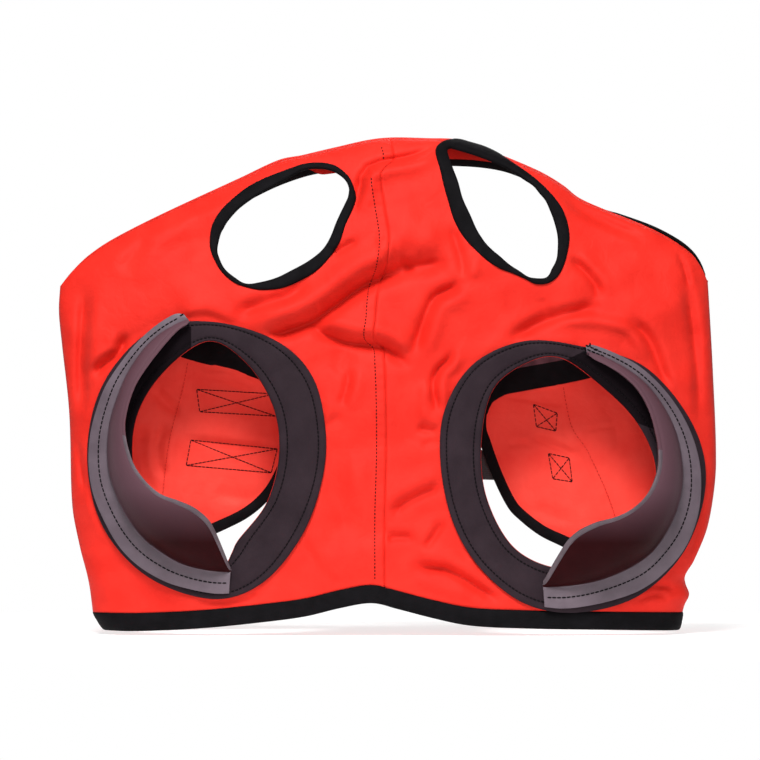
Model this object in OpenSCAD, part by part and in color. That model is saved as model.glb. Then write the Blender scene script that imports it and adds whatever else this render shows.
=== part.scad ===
// Blinker hood for a racehorse: a stretch hood with two ear openings, two eye openings ringed
// in black, two moulded half cups, and two throat flaps closed by hook-and-loop straps.
// Upright as worn: +Z up to the poll, -Y out of the face, +X to the viewer's right.
// The origin is the poll seat, under the fold of the crown on the centre seam.

/* [Hood] */
// How far the face side stands forward of the side folds
face_depth = 40; // [30:1:50]
// How far the throat side stands behind the side folds at the hinge lines
side_depth = 18; // [14:1:22]
// How much further back the throat flaps stand than the hinge lines
flap_rise = 7; // [4:1:10]
// How far the band behind the crown stands back
crown_depth = 11; // [8:1:14]

/* [Thicknesses] */
// Fabric of the hood, with its lining
fabric_t = 2; // [1.6:0.1:2.2]
// Leathercloth of the eye rings
ring_t = 2.4; // [1.6:0.1:2.6]
// Moulded sheet of the cups
cup_t = 2.6; // [2:0.1:2.8]
// Folded edge binding
binding_t = 3.6; // [3:0.1:4]
// Elastic web of the closing straps
strap_t = 1.8; // [1.2:0.1:2]

/* [Widths] */
// Edge binding along the nose and throat
binding_w = 12; // [10:0.5:13]
// Edge binding along the neck edge, which leans back at about 45 degrees behind the crown
neck_binding_w = 9; // [7:0.5:10]
// Closing straps and their patches
strap_w = 20; // [18:0.5:21]

/* [Cups] */
// How far a cup stands out of its flange
cup_height = 42; // [34:1:46]
// How far a cup reaches over the eye
cup_reach = 39; // [34:1:41]

/* [Hidden] */

fabric_red = [0.93, 0.16, 0.13];
trim_black = [0.1, 0.09, 0.1];
ring_black = [0.2, 0.17, 0.19];
cup_grey = [0.38, 0.34, 0.37];
thread_black = [0.05, 0.05, 0.06];

// Free space left between two layers of fabric, and between the ends of pieces
layer_gap = 0.9;
end_gap = 0.3;
// Hinge lines of the throat flaps, and the space that their folds leave
left_hinge_x = -180;
right_hinge_x = 188;
fold_gap = 1.4;

// Outline of the hood laid flat, seen from the front, as (x, z)
crown_line = [[-214, -99], [-200, -82], [-180, -68], [-147, -51], [-93, -26], [-65, -15],
    [-33, -7], [0, 0], [33, 0], [54, -1], [80, -9], [107, -23], [122, -34], [147, -46],
    [180, -58], [203, -72], [217, -90]];
hem_line = [[-192, -316], [-160, -316], [-120, -314], [-80, -310], [-50, -306], [-25, -300],
    [-5, -297], [12, -301], [35, -307], [60, -312], [100, -314], [150, -315], [203, -316]];
// Side folds as (z, x)
left_fold = [[-318, -191], [-297, -194], [-274, -200], [-247, -205], [-187, -207],
    [-137, -212], [-114, -214], [-96, -213]];
right_fold = [[-318, 202], [-300, 204], [-284, 210], [-264, 217], [-240, 222], [-215, 224],
    [-160, 222], [-107, 219], [-86, 217]];
shoulder_z = -97;
corner_z = -316;
// Lower edge of the crown band's binding
neck_line = [[-206, -104], [-160, -82], [-120, -60], [-82, -42], [-40, -29], [0, -23],
    [50, -20], [80, -22], [102, -29], [120, -37], [147, -52], [180, -63], [193, -69],
    [203, -75], [211, -83]];
// How far back the neck edge's binding stands, as (x, y)
neck_back = [[-203, 8], [-160, 10], [88, 10], [108, 1], [190, 1], [211, 5]];

// Eye openings and eye rings, as loops of (x, z)
left_eye = [[-115, -135], [-89, -149], [-71, -178], [-67, -210], [-75, -242], [-96, -272],
    [-120, -281], [-146, -266], [-162, -230], [-163, -190], [-146, -158]];
left_ring = [[-112, -122], [-70, -134], [-45, -158], [-36, -195], [-39, -230], [-53, -266],
    [-79, -296], [-112, -306], [-155, -291], [-185, -257], [-195, -210], [-184, -163],
    [-152, -128]];
right_eye = [[120, -146], [98, -149], [75, -167], [67, -203], [71, -240], [90, -273],
    [122, -286], [155, -277], [178, -250], [183, -218], [170, -188], [145, -163]];
right_ring = [[132, -138], [95, -135], [62, -150], [43, -180], [40, -215], [48, -254],
    [66, -285], [96, -309], [132, -315], [172, -304], [203, -274], [217, -230], [208, -190],
    [176, -152]];
// Ear openings and the outer edges of their bindings
left_ear = [[-107, -74], [-96, -52], [-75, -34], [-48, -24], [-28, -28], [-24, -42],
    [-38, -68], [-60, -84], [-84, -93], [-101, -90]];
left_ear_edge = [[-114, -70], [-104, -42], [-80, -25], [-46, -17], [-21, -24], [-17, -42],
    [-31, -72], [-58, -92], [-88, -100], [-108, -92]];
right_ear = [[49, -16], [58, -10], [80, -16], [101, -28], [114, -48], [118, -68], [112, -88],
    [104, -91], [84, -81], [64, -60], [54, -36]];
right_ear_edge = [[39, -14], [53, -4], [80, -12], [105, -27], [121, -49], [126, -69],
    [117, -93], [105, -98], [79, -87], [57, -66], [43, -36]];

// Throat flaps: upper and lower edges from the hinge line to the closing end, as (x, z)
left_flap_top = [[-180, -116], [-160, -123], [-129, -134], [-93, -144], [-72, -151],
    [-60, -161], [-56, -178]];
left_flap_low = [[-180, -308], [-153, -284], [-127, -271], [-106, -262], [-87, -252],
    [-72, -238], [-62, -220], [-56, -202]];
// Width of a flap's binding against the share of the way round it, as a share of the tape
flap_binding_share = [[0, 1], [0.36, 1], [0.48, 0.65], [0.8, 0.65], [1, 1]];
right_flap_top = [[188, -123], [160, -140], [140, -147], [122, -151], [90, -157], [77, -161],
    [67, -170], [63, -184]];
right_flap_low = [[188, -306], [167, -294], [140, -281], [121, -272], [107, -265], [94, -255],
    [85, -245], [74, -222], [63, -192]];
// Seams that join the flaps to the side panels, as (z, x)
left_seam = [[-320, -150], [-240, -143], [-200, -138], [-160, -128], [-110, -120]];
right_seam = [[-320, 172], [-250, 154], [-210, 137], [-190, 125], [-150, 118], [-110, 115]];

// Cups: centre, half width and half height of the flange's outer edge, and its tilt
left_cup = [[-112, -208], 81, 93, 0];
right_cup = [[133, -223], 80, 90, 6];
// The flange runs from the tip above the eye round the outside of the hood to the nose end
cup_tip = 102;
cup_end = 279;
flange_w = 11.5;
// Space between the cup's end and the reach of the wall, as (share of the run, share of reach)
reach_line = [[0, 0], [0.12, 0.2], [0.3, 0.3], [0.5, 0.36], [0.62, 0.6], [0.76, 0.96],
    [0.86, 0.93], [0.94, 0.55], [1, 0.03]];
rise_line = [[0, 0.05], [0.12, 0.4], [0.3, 0.62], [0.5, 0.8], [0.68, 1], [0.84, 0.92],
    [0.94, 0.6], [1, 0.06]];

// Straps: ends as (x, z) at the closing end and at the anchor
upper_strap_run = [[-119, -175], [104, -186]];
lower_strap_run = [[-124, -212], [113, -219]];
strap_anchor = 17;

// --- curves ---------------------------------------------------------------------------------

function lerp(a, b, t) = a + (b - a) * t;
function clamp01(t) = min(max(t, 0), 1);
function unit(v) = v / norm(v);
function segment(pts, x, i = 0) =
    i >= len(pts) - 2 || x < pts[i + 1][0] ? i : segment(pts, x, i + 1);
function slope(pts, i) =
    let (a = pts[max(i - 1, 0)], b = pts[min(i + 1, len(pts) - 1)])
    (b[1] - a[1]) / (b[0] - a[0]);
// Smooth graph through points that run along their first value
function graph(pts, x) =
    let (i = segment(pts, x), a = pts[i], b = pts[i + 1], w = b[0] - a[0],
        t = clamp01((x - a[0]) / w))
    a[1] * (2 * t^3 - 3 * t^2 + 1) + slope(pts, i) * w * (t^3 - 2 * t^2 + t)
    + b[1] * (3 * t^2 - 2 * t^3) + slope(pts, i + 1) * w * (t^3 - t^2);
function blend4(a, b, c, d, t) =
    0.5 * (2 * b + (c - a) * t + (2 * a - 5 * b + 4 * c - d) * t^2
        + (3 * b - a - 3 * c + d) * t^3);
// Smooth curve through points, t from 0 to 1
function curve(pts, t) =
    let (n = len(pts) - 1, s = min(clamp01(t) * n, n - 0.000001), i = floor(s))
    blend4(pts[max(i - 1, 0)], pts[i], pts[i + 1], pts[min(i + 2, n)], s - i);
// Smooth closed loop through points, t from 0 to 1
function loop_at(pts, t) =
    let (n = len(pts), s = t * n, i = floor(s))
    blend4(pts[(i + n - 1) % n], pts[i % n], pts[(i + 1) % n], pts[(i + 2) % n], s - i);

// --- surfaces -------------------------------------------------------------------------------

function across(x, z) =
    let (a = graph(left_fold, z), b = graph(right_fold, z)) clamp01((x - a) / (b - a));
function up(x, z) =
    let (a = graph(hem_line, x), b = graph(crown_line, x)) clamp01((z - a) / (b - a));
function arch(u) = (1 - min(abs(2 * u - 1), 1)^2.4)^(1 / 2.4);
function crest(v) = (1 - v^5)^(1 / 2.2);
// Mid-fabric of the face side
function face_y(x, z) = -face_depth * arch(across(x, z)) * crest(up(x, z));
function face_normal(x, z) =
    let (e = 1.5)
    unit([(face_y(x + e, z) - face_y(x - e, z)) / (2 * e), -1,
        (face_y(x, z + e) - face_y(x, z - e)) / (2 * e)]);
// Point that stands off the face side by a distance, towards the front
function face_point(p, off) = [p[0], face_y(p[0], p[1]), p[1]] + face_normal(p[0], p[1]) * off;
function smooth(t) = let (c = clamp01(t)) c * c * (3 - 2 * c);
// Mid-fabric of the throat side, inward of the hinge lines
function throat_y(x) =
    side_depth + flap_rise * smooth((x < 0 ? x - left_hinge_x : right_hinge_x - x) / 90);
function throat_point(p, off) = [p[0], throat_y(p[0]) + off, p[1]];

// --- solids from grids ----------------------------------------------------------------------

function grid_normal(g, i, j, round_i) =
    let (n = len(g), m = len(g[0]),
        a = g[round_i ? (i + n - 1) % n : max(i - 1, 0)][j],
        b = g[round_i ? (i + 1) % n : min(i + 1, n - 1)][j],
        c = g[i][max(j - 1, 0)], d = g[i][min(j + 1, m - 1)])
    unit(cross(b - a, d - c));
// Closed solid of a thickness about a grid of mid-surface points. With round_i the grid's
// first and last columns are neighbours.
module sheet(g, t, round_i = false) {
    n = len(g);
    m = len(g[0]);
    cells = round_i ? n : n - 1;
    size = n * m;
    top = [for (i = [0:n - 1], j = [0:m - 1]) g[i][j] + grid_normal(g, i, j, round_i) * t / 2];
    low = [for (i = [0:n - 1], j = [0:m - 1]) g[i][j] - grid_normal(g, i, j, round_i) * t / 2];
    function at(i, j) = (i % n) * m + j;
    faces = concat(
        [for (i = [0:cells - 1], j = [0:m - 2]) each [
            [at(i, j), at(i, j + 1), at(i + 1, j + 1)],
            [at(i, j), at(i + 1, j + 1), at(i + 1, j)],
            [size + at(i, j), size + at(i + 1, j + 1), size + at(i, j + 1)],
            [size + at(i, j), size + at(i + 1, j), size + at(i + 1, j + 1)]]],
        [for (i = [0:cells - 1]) each [
            [at(i, 0), at(i + 1, 0), size + at(i + 1, 0)],
            [at(i, 0), size + at(i + 1, 0), size + at(i, 0)],
            [at(i + 1, m - 1), at(i, m - 1), size + at(i, m - 1)],
            [at(i + 1, m - 1), size + at(i, m - 1), size + at(i + 1, m - 1)]]],
        round_i ? [] : [for (j = [0:m - 2]) each [
            [at(0, j + 1), at(0, j), size + at(0, j)],
            [at(0, j + 1), size + at(0, j), size + at(0, j + 1)],
            [at(n - 1, j), at(n - 1, j + 1), size + at(n - 1, j + 1)],
            [at(n - 1, j), size + at(n - 1, j + 1), size + at(n - 1, j)]]]);
    polyhedron(points = concat(top, low), faces = faces, convexity = 10);
}

// Prism through the hood inside a loop, from one depth to another
module prism(pts, steps, y0, y1)
    translate([0, y1, 0]) rotate([90, 0, 0])
        linear_extrude(y1 - y0) polygon([for (i = [0:steps - 1]) loop_at(pts, i / steps)]);

// --- face side ------------------------------------------------------------------------------

// Half of the face side with the fabric that wraps round the side fold to the hinge line.
// side is -1 for the left half and 1 for the right.
function fold_x(side, z) = graph(side < 0 ? left_fold : right_fold, z);
function hinge_x(side) = side < 0 ? left_hinge_x : right_hinge_x;
function flap_edge_z(side, top) =
    side < 0 ? (top ? left_flap_top[0][1] : left_flap_low[0][1])
             : (top ? right_flap_top[0][1] : right_flap_low[0][1]);
function face_row(side, k, b) =
    let (fx = fold_x(side, lerp(corner_z, shoulder_z, b)), x = lerp(side * 0.05, fx, sin(90 * k)),
        z = lerp(graph(hem_line, x) + end_gap, graph(crown_line, x), b))
    [x, face_y(x, z), z];
function wrap_row(side, s, b) =
    let (fx = fold_x(side, lerp(corner_z, shoulder_z, b)), hx = hinge_x(side) + side * fold_gap,
        z0 = lerp(graph(hem_line, fx) + end_gap, graph(crown_line, fx), b),
        z1 = lerp(flap_edge_z(side, false) + binding_w, flap_edge_z(side, true) - binding_w, b))
    [lerp(fx, hx, 1 - cos(90 * s)), side_depth * sin(90 * s), lerp(z0, z1, smooth(s))];
// The face side stops just short of the crown's fold
top_share = 0.995;
module front_panel(side, eye, ear_edge) {
    rows = 16;
    face = 15;
    wrap = 4;
    cols = [for (b = [0:rows]) sin(90 * b / rows) * 0.6 + b / rows * 0.4];
    color(fabric_red) difference() {
        sheet([for (k = [0:face + wrap]) [for (b = cols) k <= face
            ? face_row(side, k / face, min(b, top_share))
            : wrap_row(side, (k - face) / wrap, min(b, top_share))]], fabric_t);
        prism(eye, 32, -face_depth - 20, -1);
        prism(ear_edge, 28, -face_depth - 20, -fabric_t);
    }
}

// The fold over the crown and the band that hangs behind it, down to the neck edge
function crown_row(x) =
    let (z = lerp(graph(hem_line, x), graph(crown_line, x), top_share), y = face_y(x, z),
        top = graph(crown_line, x), back = crown_depth - 1,
        low = min(graph(neck_line, x) + neck_lean + 1.5, top - 3))
    [[x, y + 0.8, z + 0.2], [x, y * 0.4, top - 0.4], [x, 2.5, top - 0.3], [x, 6, top - 2],
        [x, lerp(7, back, 0.6), lerp(top - 3, low, 0.5)], [x, back, low]];
module crown_band() {
    steps = 26;
    color(fabric_red) sheet([for (i = [0:steps]) crown_row(lerp(-196, 92, i / steps))], fabric_t);
}

// Thread beside the seam that joins the two halves of the face side
module centre_seam_stitching() {
    steps = 24;
    color(thread_black) sheet([for (i = [0:steps]) let (z = lerp(-294, -10, i / steps))
        [for (w = [-0.4, 0.4]) face_point([w - 4.5, z], fabric_t / 2 + 0.4)]], 0.6);
}

// --- rings, bindings and stitching ----------------------------------------------------------

module loop_band(outer, inner, steps, rows, off, t, edge = 0)
    sheet([for (i = [0:steps - 1]) let (a = loop_at(outer, i / steps), b = loop_at(inner, i / steps),
        e = edge / norm(b - a))
        [for (w = [0:rows]) face_point(lerp(a, b, lerp(e, 1 - e, w / rows)), off)]], t, true);
// Thread along a loop that lies between the outer and inner edges
module loop_thread(outer, inner, steps, share, off)
    sheet([for (i = [0:steps - 1]) let (a = loop_at(outer, i / steps), b = loop_at(inner, i / steps),
        e = 0.4 / norm(b - a))
        [for (w = [-1, 1]) face_point(lerp(a, b, share + e * w), off)]], 0.5, true);

ring_off = fabric_t / 2 + layer_gap + ring_t / 2;
cup_off = ring_off + ring_t / 2 + layer_gap + cup_t / 2;
module eye_ring(ring, eye) color(ring_black) loop_band(ring, eye, 44, 3, ring_off, ring_t);
module ring_stitching(ring, eye) color(thread_black) for (share = [0.16, 0.86])
    loop_thread(ring, eye, 44, share, ring_off + ring_t / 2 + 0.5);
module ear_binding(edge, ear) color(trim_black)
    loop_band(edge, ear, 34, 2, 0.3, binding_t, end_gap);

// Upper edge of the nose binding, round both side folds from hinge line to hinge line
function hem_edge() =
    let (x0 = fold_x(-1, corner_z), x1 = fold_x(1, corner_z))
    concat([for (s = [4:-1:1]) wrap_row(-1, s / 4, 0)],
        [for (i = [0:30]) let (x = lerp(x0, x1, (1 - cos(6 * i)) / 2), z = graph(hem_line, x) + end_gap)
            [x, face_y(x, z), z]],
        [for (s = [1:4]) wrap_row(1, s / 4, 0)]);
module nose_binding()
    color(trim_black) sheet([for (p = hem_edge())
        [for (w = [0:2]) p - [0, 0, end_gap * 2 + binding_w * w / 2]]], binding_t);

neck_binding_t = 2.8;
neck_lean = neck_binding_w * 0.7;
module neck_binding() {
    steps = 36;
    color(trim_black) sheet([for (i = [0:steps]) let (x = lerp(-198, 209, i / steps),
        z = graph(neck_line, x), y = graph(neck_back, x))
        [for (w = [0:2]) [x, y + neck_lean * w / 2, z + neck_lean * (1 - w / 2)]]],
        neck_binding_t);
}
// Binding of the neck edge from the shoulder round to the hinge line
module shoulder_binding(side) {
    steps = 8;
    first = side < 0 ? 0.45 : 0.14;
    color(trim_black) sheet([for (i = [0:steps]) let (s = lerp(first, 1, i / steps),
        wide = lerp(neck_binding_w, binding_w, s))
        [for (w = [0:2]) wrap_row(side, s, 1) + [0, 0, end_gap * 2 + wide * w / 2]]], neck_binding_t);
}

// --- cups -----------------------------------------------------------------------------------

function ring_angle(t) = lerp(cup_tip, cup_end, t);
// Point on the flange's ellipse, drawn in by a distance; side -1 is the left cup
function cup_edge(cup, side, t, drawn) =
    let (a = ring_angle(t), c = cup[3],
        p = [(cup[1] - drawn) * cos(a) * -side, (cup[2] - drawn) * sin(a)])
    cup[0] + [p[0] * cos(c) - p[1] * sin(c), p[0] * sin(c) + p[1] * cos(c)];
// Wall of the cup: climbs off the flange's inner line and closes in over the eye
function cup_wall(cup, side, t, s) =
    let (reach = cup_reach * graph(reach_line, t), rise = cup_height * graph(rise_line, t),
        base = cup_edge(cup, side, t, flange_w), c = cup[0] + [12 * -side, 34 * (t - 0.5)],
        inward = unit(c - base))
    face_point(base + inward * reach * (1 - cos(84 * s)), cup_off + rise * sin(84 * s));
module blinker_cup(cup, side) {
    steps = 30;
    color(cup_grey) sheet([for (i = [0:steps]) let (t = i / steps) concat(
        [for (w = [0, 0.5]) face_point(cup_edge(cup, side, t, flange_w * w), cup_off)],
        [for (s = [0:6]) cup_wall(cup, side, t, s / 6)])], cup_t);
}
module cup_stitching(cup, side) {
    steps = 30;
    color(thread_black) sheet([for (i = [0:steps]) let (t = lerp(0.03, 0.98, i / steps))
        [for (w = [-0.4, 0.4]) face_point(cup_edge(cup, side, t, flange_w * 0.42 + w),
            cup_off + cup_t / 2 + 0.42)]], 0.8);
}

// --- throat side ----------------------------------------------------------------------------

function seam_x(side, z) = graph(side < 0 ? left_seam : right_seam, z);
// The fabric of a flap is tucked into the fold of its binding by about 2 mm
top_tuck = binding_w - 1;
low_tuck = binding_w * 0.65 - 1;
module side_panel(side) {
    top = side < 0 ? left_flap_top : right_flap_top;
    low = side < 0 ? left_flap_low : right_flap_low;
    rows = 8;
    cols = 4;
    color(fabric_red) sheet([for (k = [0:cols]) [for (b = [0:rows]) let (
        z = lerp(low[0][1], top[0][1], b / rows),
        x0 = hinge_x(side) - side * fold_gap, x1 = seam_x(side, z) + side * end_gap,
        x = lerp(x0, x1, k / cols), zt = flap_edge(top, x), zl = flap_edge(low, x))
        throat_point([x, lerp(zl + low_tuck, zt - top_tuck, b / rows)], 0)]], fabric_t);
}
// Height of a flap's edge at x, on the stretch where it runs along x
function flap_edge(edge, x, i = 0) =
    i >= len(edge) - 2 || (x - edge[i + 1][0]) * (edge[1][0] - edge[0][0]) < 0
    ? lerp(edge[i][1], edge[i + 1][1],
        clamp01((x - edge[i][0]) / (edge[i + 1][0] - edge[i][0])))
    : flap_edge(edge, x, i + 1);
module throat_flap(side) {
    top = side < 0 ? left_flap_top : right_flap_top;
    low = side < 0 ? left_flap_low : right_flap_low;
    tip = side * 76;
    rows = 8;
    cols = 7;
    color(fabric_red) sheet([for (k = [0:cols]) [for (b = [0:rows]) let (
        z0 = lerp(low[0][1], top[0][1], b / rows), x0 = seam_x(side, z0) - side * end_gap,
        x = lerp(x0, tip, k / cols), zt = flap_edge(top, x), zl = flap_edge(low, x))
        throat_point([x, lerp(zl + low_tuck, zt - top_tuck, b / rows)], 0)]], fabric_t);
}
// Outline of a flap, from its top at the hinge line round the closing end and back
function flap_outline(side) =
    let (top = side < 0 ? left_flap_top : right_flap_top,
        low = side < 0 ? left_flap_low : right_flap_low,
        path = concat([for (i = [0:12]) curve(top, i / 12)], [for (i = [0:12]) curve(low, 1 - i / 12)]))
    [for (p = path) [side * min(side * p[0], side * hinge_x(side) - fold_gap), p[1]]];
module flap_binding(side) {
    path = flap_outline(side);
    n = len(path);
    color(trim_black) sheet([for (i = [0:n - 1]) let (
        d = i == 0 || i == n - 1 ? [i == 0 ? -side : side, 0]
            : unit(path[i + 1] - path[i - 1]), inward = [-side * d[1], side * d[0]],
        wide = binding_w * graph(flap_binding_share, i / (n - 1)))
        [for (w = [0:2]) throat_point(path[i] + inward * wide * w / 2, 0)]], binding_t);
}

// Strip behind the throat side along a run, from a share of it to another
function strap_strip(run, from, to, steps, w, off) = [for (i = [0:steps]) let (
    p = lerp(run[0], run[1], lerp(from, to, i / steps)), d = unit(run[1] - run[0]),
    across = [-d[1], d[0]])
    [for (k = [-1, 0, 1]) throat_point(p + across * w / 2 * k, off)]];
patch_t = 1.2;
loop_off = binding_t / 2 + 0.2 + patch_t / 2;
hook_off = loop_off + patch_t + 0.5;
strap_off = hook_off + patch_t / 2 + 0.2 + strap_t / 2;
module loop_patch(run) color(trim_black)
    sheet(strap_strip(run, 0, 0.24, 4, strap_w, loop_off), patch_t);
module hook_patch(run) color(trim_black)
    sheet(strap_strip(run, 0.01, 0.22, 4, strap_w - 1, hook_off), patch_t);
module strap(run) {
    len = norm(run[1] - run[0]);
    color(trim_black) sheet(strap_strip(run, 0, 1 - fold_gap / len, 14, strap_w, strap_off), strap_t);
}
// The end that is folded double and sewn down on the flap
module strap_anchor(run) {
    len = norm(run[1] - run[0]);
    low = fabric_t / 2 + 0.5;
    high = strap_off + strap_t / 2;
    color(trim_black) sheet(strap_strip(run, 1 + fold_gap / len, 1 + strap_anchor / len, 2, strap_w,
        (low + high) / 2), high - low);
}

// Box of thread with a cross in it, on the inner face of a flap. The two threads of the cross
// lie one over the other.
module box_thread(a, b, off) {
    side_way = [-(b - a)[1], (b - a)[0]] / norm(b - a) * 0.4;
    e = 0.8 / norm(b - a);
    sheet([for (i = [0:4]) let (p = lerp(a, b, lerp(e, 1 - e, i / 4)))
        [for (k = [-1, 1]) throat_point(p + side_way * k, off)]], 0.6);
}
module stitched_box(x0, x1, z0, z1) {
    corners = [[x0, z0], [x1, z0], [x1, z1], [x0, z1]];
    off = -fabric_t / 2 - 0.5;
    for (i = [0:3]) box_thread(corners[i], corners[(i + 1) % 4], off);
    for (i = [0:1]) box_thread(corners[i], corners[i + 2], off - 0.9 * (i + 1));
}

// --- nodes ----------------------------------------------------------------------------------

front_panel(-1, left_eye, left_ear_edge);  // left_front_panel
front_panel(1, right_eye, right_ear_edge);  // right_front_panel
crown_band();
centre_seam_stitching();
ear_binding(left_ear_edge, left_ear);  // left_ear_binding
ear_binding(right_ear_edge, right_ear);  // right_ear_binding
eye_ring(left_ring, left_eye);  // left_eye_ring
eye_ring(right_ring, right_eye);  // right_eye_ring
ring_stitching(left_ring, left_eye);  // left_ring_stitching
ring_stitching(right_ring, right_eye);  // right_ring_stitching
blinker_cup(left_cup, -1);  // left_blinker_cup
blinker_cup(right_cup, 1);  // right_blinker_cup
cup_stitching(left_cup, -1);  // left_cup_stitching
cup_stitching(right_cup, 1);  // right_cup_stitching
nose_binding();
neck_binding();
shoulder_binding(-1);  // left_shoulder_binding
shoulder_binding(1);  // right_shoulder_binding
side_panel(-1);  // left_side_panel
throat_flap(-1);  // left_throat_flap
flap_binding(-1);  // left_flap_binding
loop_patch(upper_strap_run);  // upper_loop_patch
loop_patch(lower_strap_run);  // lower_loop_patch
color(thread_black) {  // left_box_stitching
    stitched_box(-123, -71, -183, -168);
    stitched_box(-128, -75, -219, -203);
}
side_panel(1);  // right_side_panel
throat_flap(1);  // right_throat_flap
flap_binding(1);  // right_flap_binding
color(thread_black) {  // right_box_stitching
    stitched_box(104, 118, -194, -178);
    stitched_box(113, 128, -227, -210);
}
strap_anchor(upper_strap_run);  // upper_strap_anchor
strap_anchor(lower_strap_run);  // lower_strap_anchor
strap(upper_strap_run);  // upper_strap
hook_patch(upper_strap_run);  // upper_hook_patch
strap(lower_strap_run);  // lower_strap
hook_patch(lower_strap_run);  // lower_hook_patch
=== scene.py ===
import logging
import math
from dataclasses import dataclass, field
from enum import Enum
from typing import Iterable, Optional, Sequence

import bmesh
import bpy
import numpy as np
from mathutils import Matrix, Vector


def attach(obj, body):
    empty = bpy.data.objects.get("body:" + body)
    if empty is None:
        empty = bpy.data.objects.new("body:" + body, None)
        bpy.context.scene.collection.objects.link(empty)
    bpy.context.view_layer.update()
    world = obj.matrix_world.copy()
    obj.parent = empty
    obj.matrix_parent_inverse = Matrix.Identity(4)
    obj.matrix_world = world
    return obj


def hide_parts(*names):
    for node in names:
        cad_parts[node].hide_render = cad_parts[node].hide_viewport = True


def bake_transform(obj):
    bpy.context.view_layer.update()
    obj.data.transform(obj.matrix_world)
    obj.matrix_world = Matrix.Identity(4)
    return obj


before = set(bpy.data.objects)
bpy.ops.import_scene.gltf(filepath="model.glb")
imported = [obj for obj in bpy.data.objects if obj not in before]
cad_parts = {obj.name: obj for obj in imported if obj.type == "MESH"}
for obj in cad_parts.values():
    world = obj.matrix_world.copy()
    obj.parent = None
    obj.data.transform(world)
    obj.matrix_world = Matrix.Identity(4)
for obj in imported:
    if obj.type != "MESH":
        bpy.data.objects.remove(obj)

log = logging.getLogger("hood")
Flat = tuple[tuple[float, float], ...]
Array = np.ndarray
MM = 0.001
TAPE_CORNERS = 14


class Side(Enum):
    """The half of the hood, as the viewer sees it."""

    LEFT = -1
    RIGHT = 1

    @property
    def word(self) -> str:
        """The side's name, as it begins the names of pieces."""
        return self.name.lower()


# --- curves ---------------------------------------------------------------------------------


class Graph:
    """A smooth graph through points that run along their first value."""

    def __init__(self, points: Flat) -> None:
        """Keep the points and the slope at each.

        Args:
            points: Pairs in rising order of their first value.
        """
        self.x, self.y = np.array(points, float).T
        ahead = np.minimum(np.arange(len(self.x)) + 1, len(self.x) - 1)
        behind = np.maximum(np.arange(len(self.x)) - 1, 0)
        self.slope = (self.y[ahead] - self.y[behind]) / (self.x[ahead] - self.x[behind])

    def at(self, x: Array | float) -> Array:
        """Height of the graph.

        Args:
            x: One value or an array of them.

        Returns:
            The height at each value.
        """
        x = np.asarray(x, float)
        i = np.clip(np.searchsorted(self.x, x, side="right") - 1, 0, len(self.x) - 2)
        w = self.x[i + 1] - self.x[i]
        t = np.clip((x - self.x[i]) / w, 0, 1)
        return (self.y[i] * (2 * t**3 - 3 * t**2 + 1) + self.slope[i] * w * (t**3 - 2 * t**2 + t)
                + self.y[i + 1] * (3 * t**2 - 2 * t**3) + self.slope[i + 1] * w * (t**3 - t**2))


class Curve:
    """A smooth curve through points of any dimension, open or closed."""

    def __init__(self, points: Sequence[Sequence[float]], closed: bool = False) -> None:
        """Keep the points.

        Args:
            points: The points that the curve passes through.
            closed: Whether the last point joins the first.
        """
        self.points = np.array(points, float)
        self.closed = closed

    def at(self, t: Array | float) -> Array:
        """Points on the curve.

        Args:
            t: Shares of the way along, from 0 to 1.

        Returns:
            One point for each share.
        """
        p, n = self.points, len(self.points)
        t = np.atleast_1d(np.asarray(t, float))
        spans = n if self.closed else n - 1
        s = t * spans if self.closed else np.clip(t * spans, 0, spans - 1e-9)
        i = np.floor(s).astype(int)
        f = (s - i)[:, None]
        if self.closed:
            a, b, c, d = (p[(i + k) % n] for k in (-1, 0, 1, 2))
        else:
            a, b, c, d = (p[np.clip(i + k, 0, n - 1)] for k in (-1, 0, 1, 2))
        return 0.5 * (2 * b + (c - a) * f + (2 * a - 5 * b + 4 * c - d) * f**2
                      + (3 * b - a - 3 * c + d) * f**3)

    def even(self, count: int) -> Array:
        """Points spaced evenly along the curve.

        Args:
            count: How many points; on a closed curve the first isn't repeated.

        Returns:
            The points.
        """
        fine = self.at(np.linspace(0, 1, 40 * len(self.points) + 1))
        run = np.concatenate([[0], np.cumsum(np.linalg.norm(np.diff(fine, axis=0), axis=1))])
        want = np.linspace(0, run[-1], count + 1)[:-1] if self.closed else np.linspace(0, run[-1], count)
        return np.stack([np.interp(want, run, fine[:, k]) for k in range(fine.shape[1])], axis=1)

    def length(self) -> float:
        """Length of the curve."""
        fine = self.at(np.linspace(0, 1, 40 * len(self.points) + 1))
        return float(np.linalg.norm(np.diff(fine, axis=0), axis=1).sum())


def lerp(a: Array | float, b: Array | float, t: Array | float) -> Array:
    """Value a share t of the way from a to b."""
    return a + (b - a) * t


def smooth(t: Array | float) -> Array:
    """Smooth step from 0 at 0 to 1 at 1."""
    c = np.clip(t, 0, 1)
    return c * c * (3 - 2 * c)


def inside(loop: Array, x: Array, z: Array) -> Array:
    """Whether flat points are inside a closed loop.

    Args:
        loop: Corners of the loop.
        x: First values of the points.
        z: Second values of the points.

    Returns:
        True for each point inside.
    """
    found = np.zeros(np.shape(x), bool)
    for (x0, z0), (x1, z1) in zip(loop, np.roll(loop, -1, axis=0)):
        spans = (z0 > z) != (z1 > z)
        with np.errstate(divide="ignore", invalid="ignore"):
            found ^= spans & (x < (x1 - x0) * (z - z0) / (z1 - z0) + x0)
    return found


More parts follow.
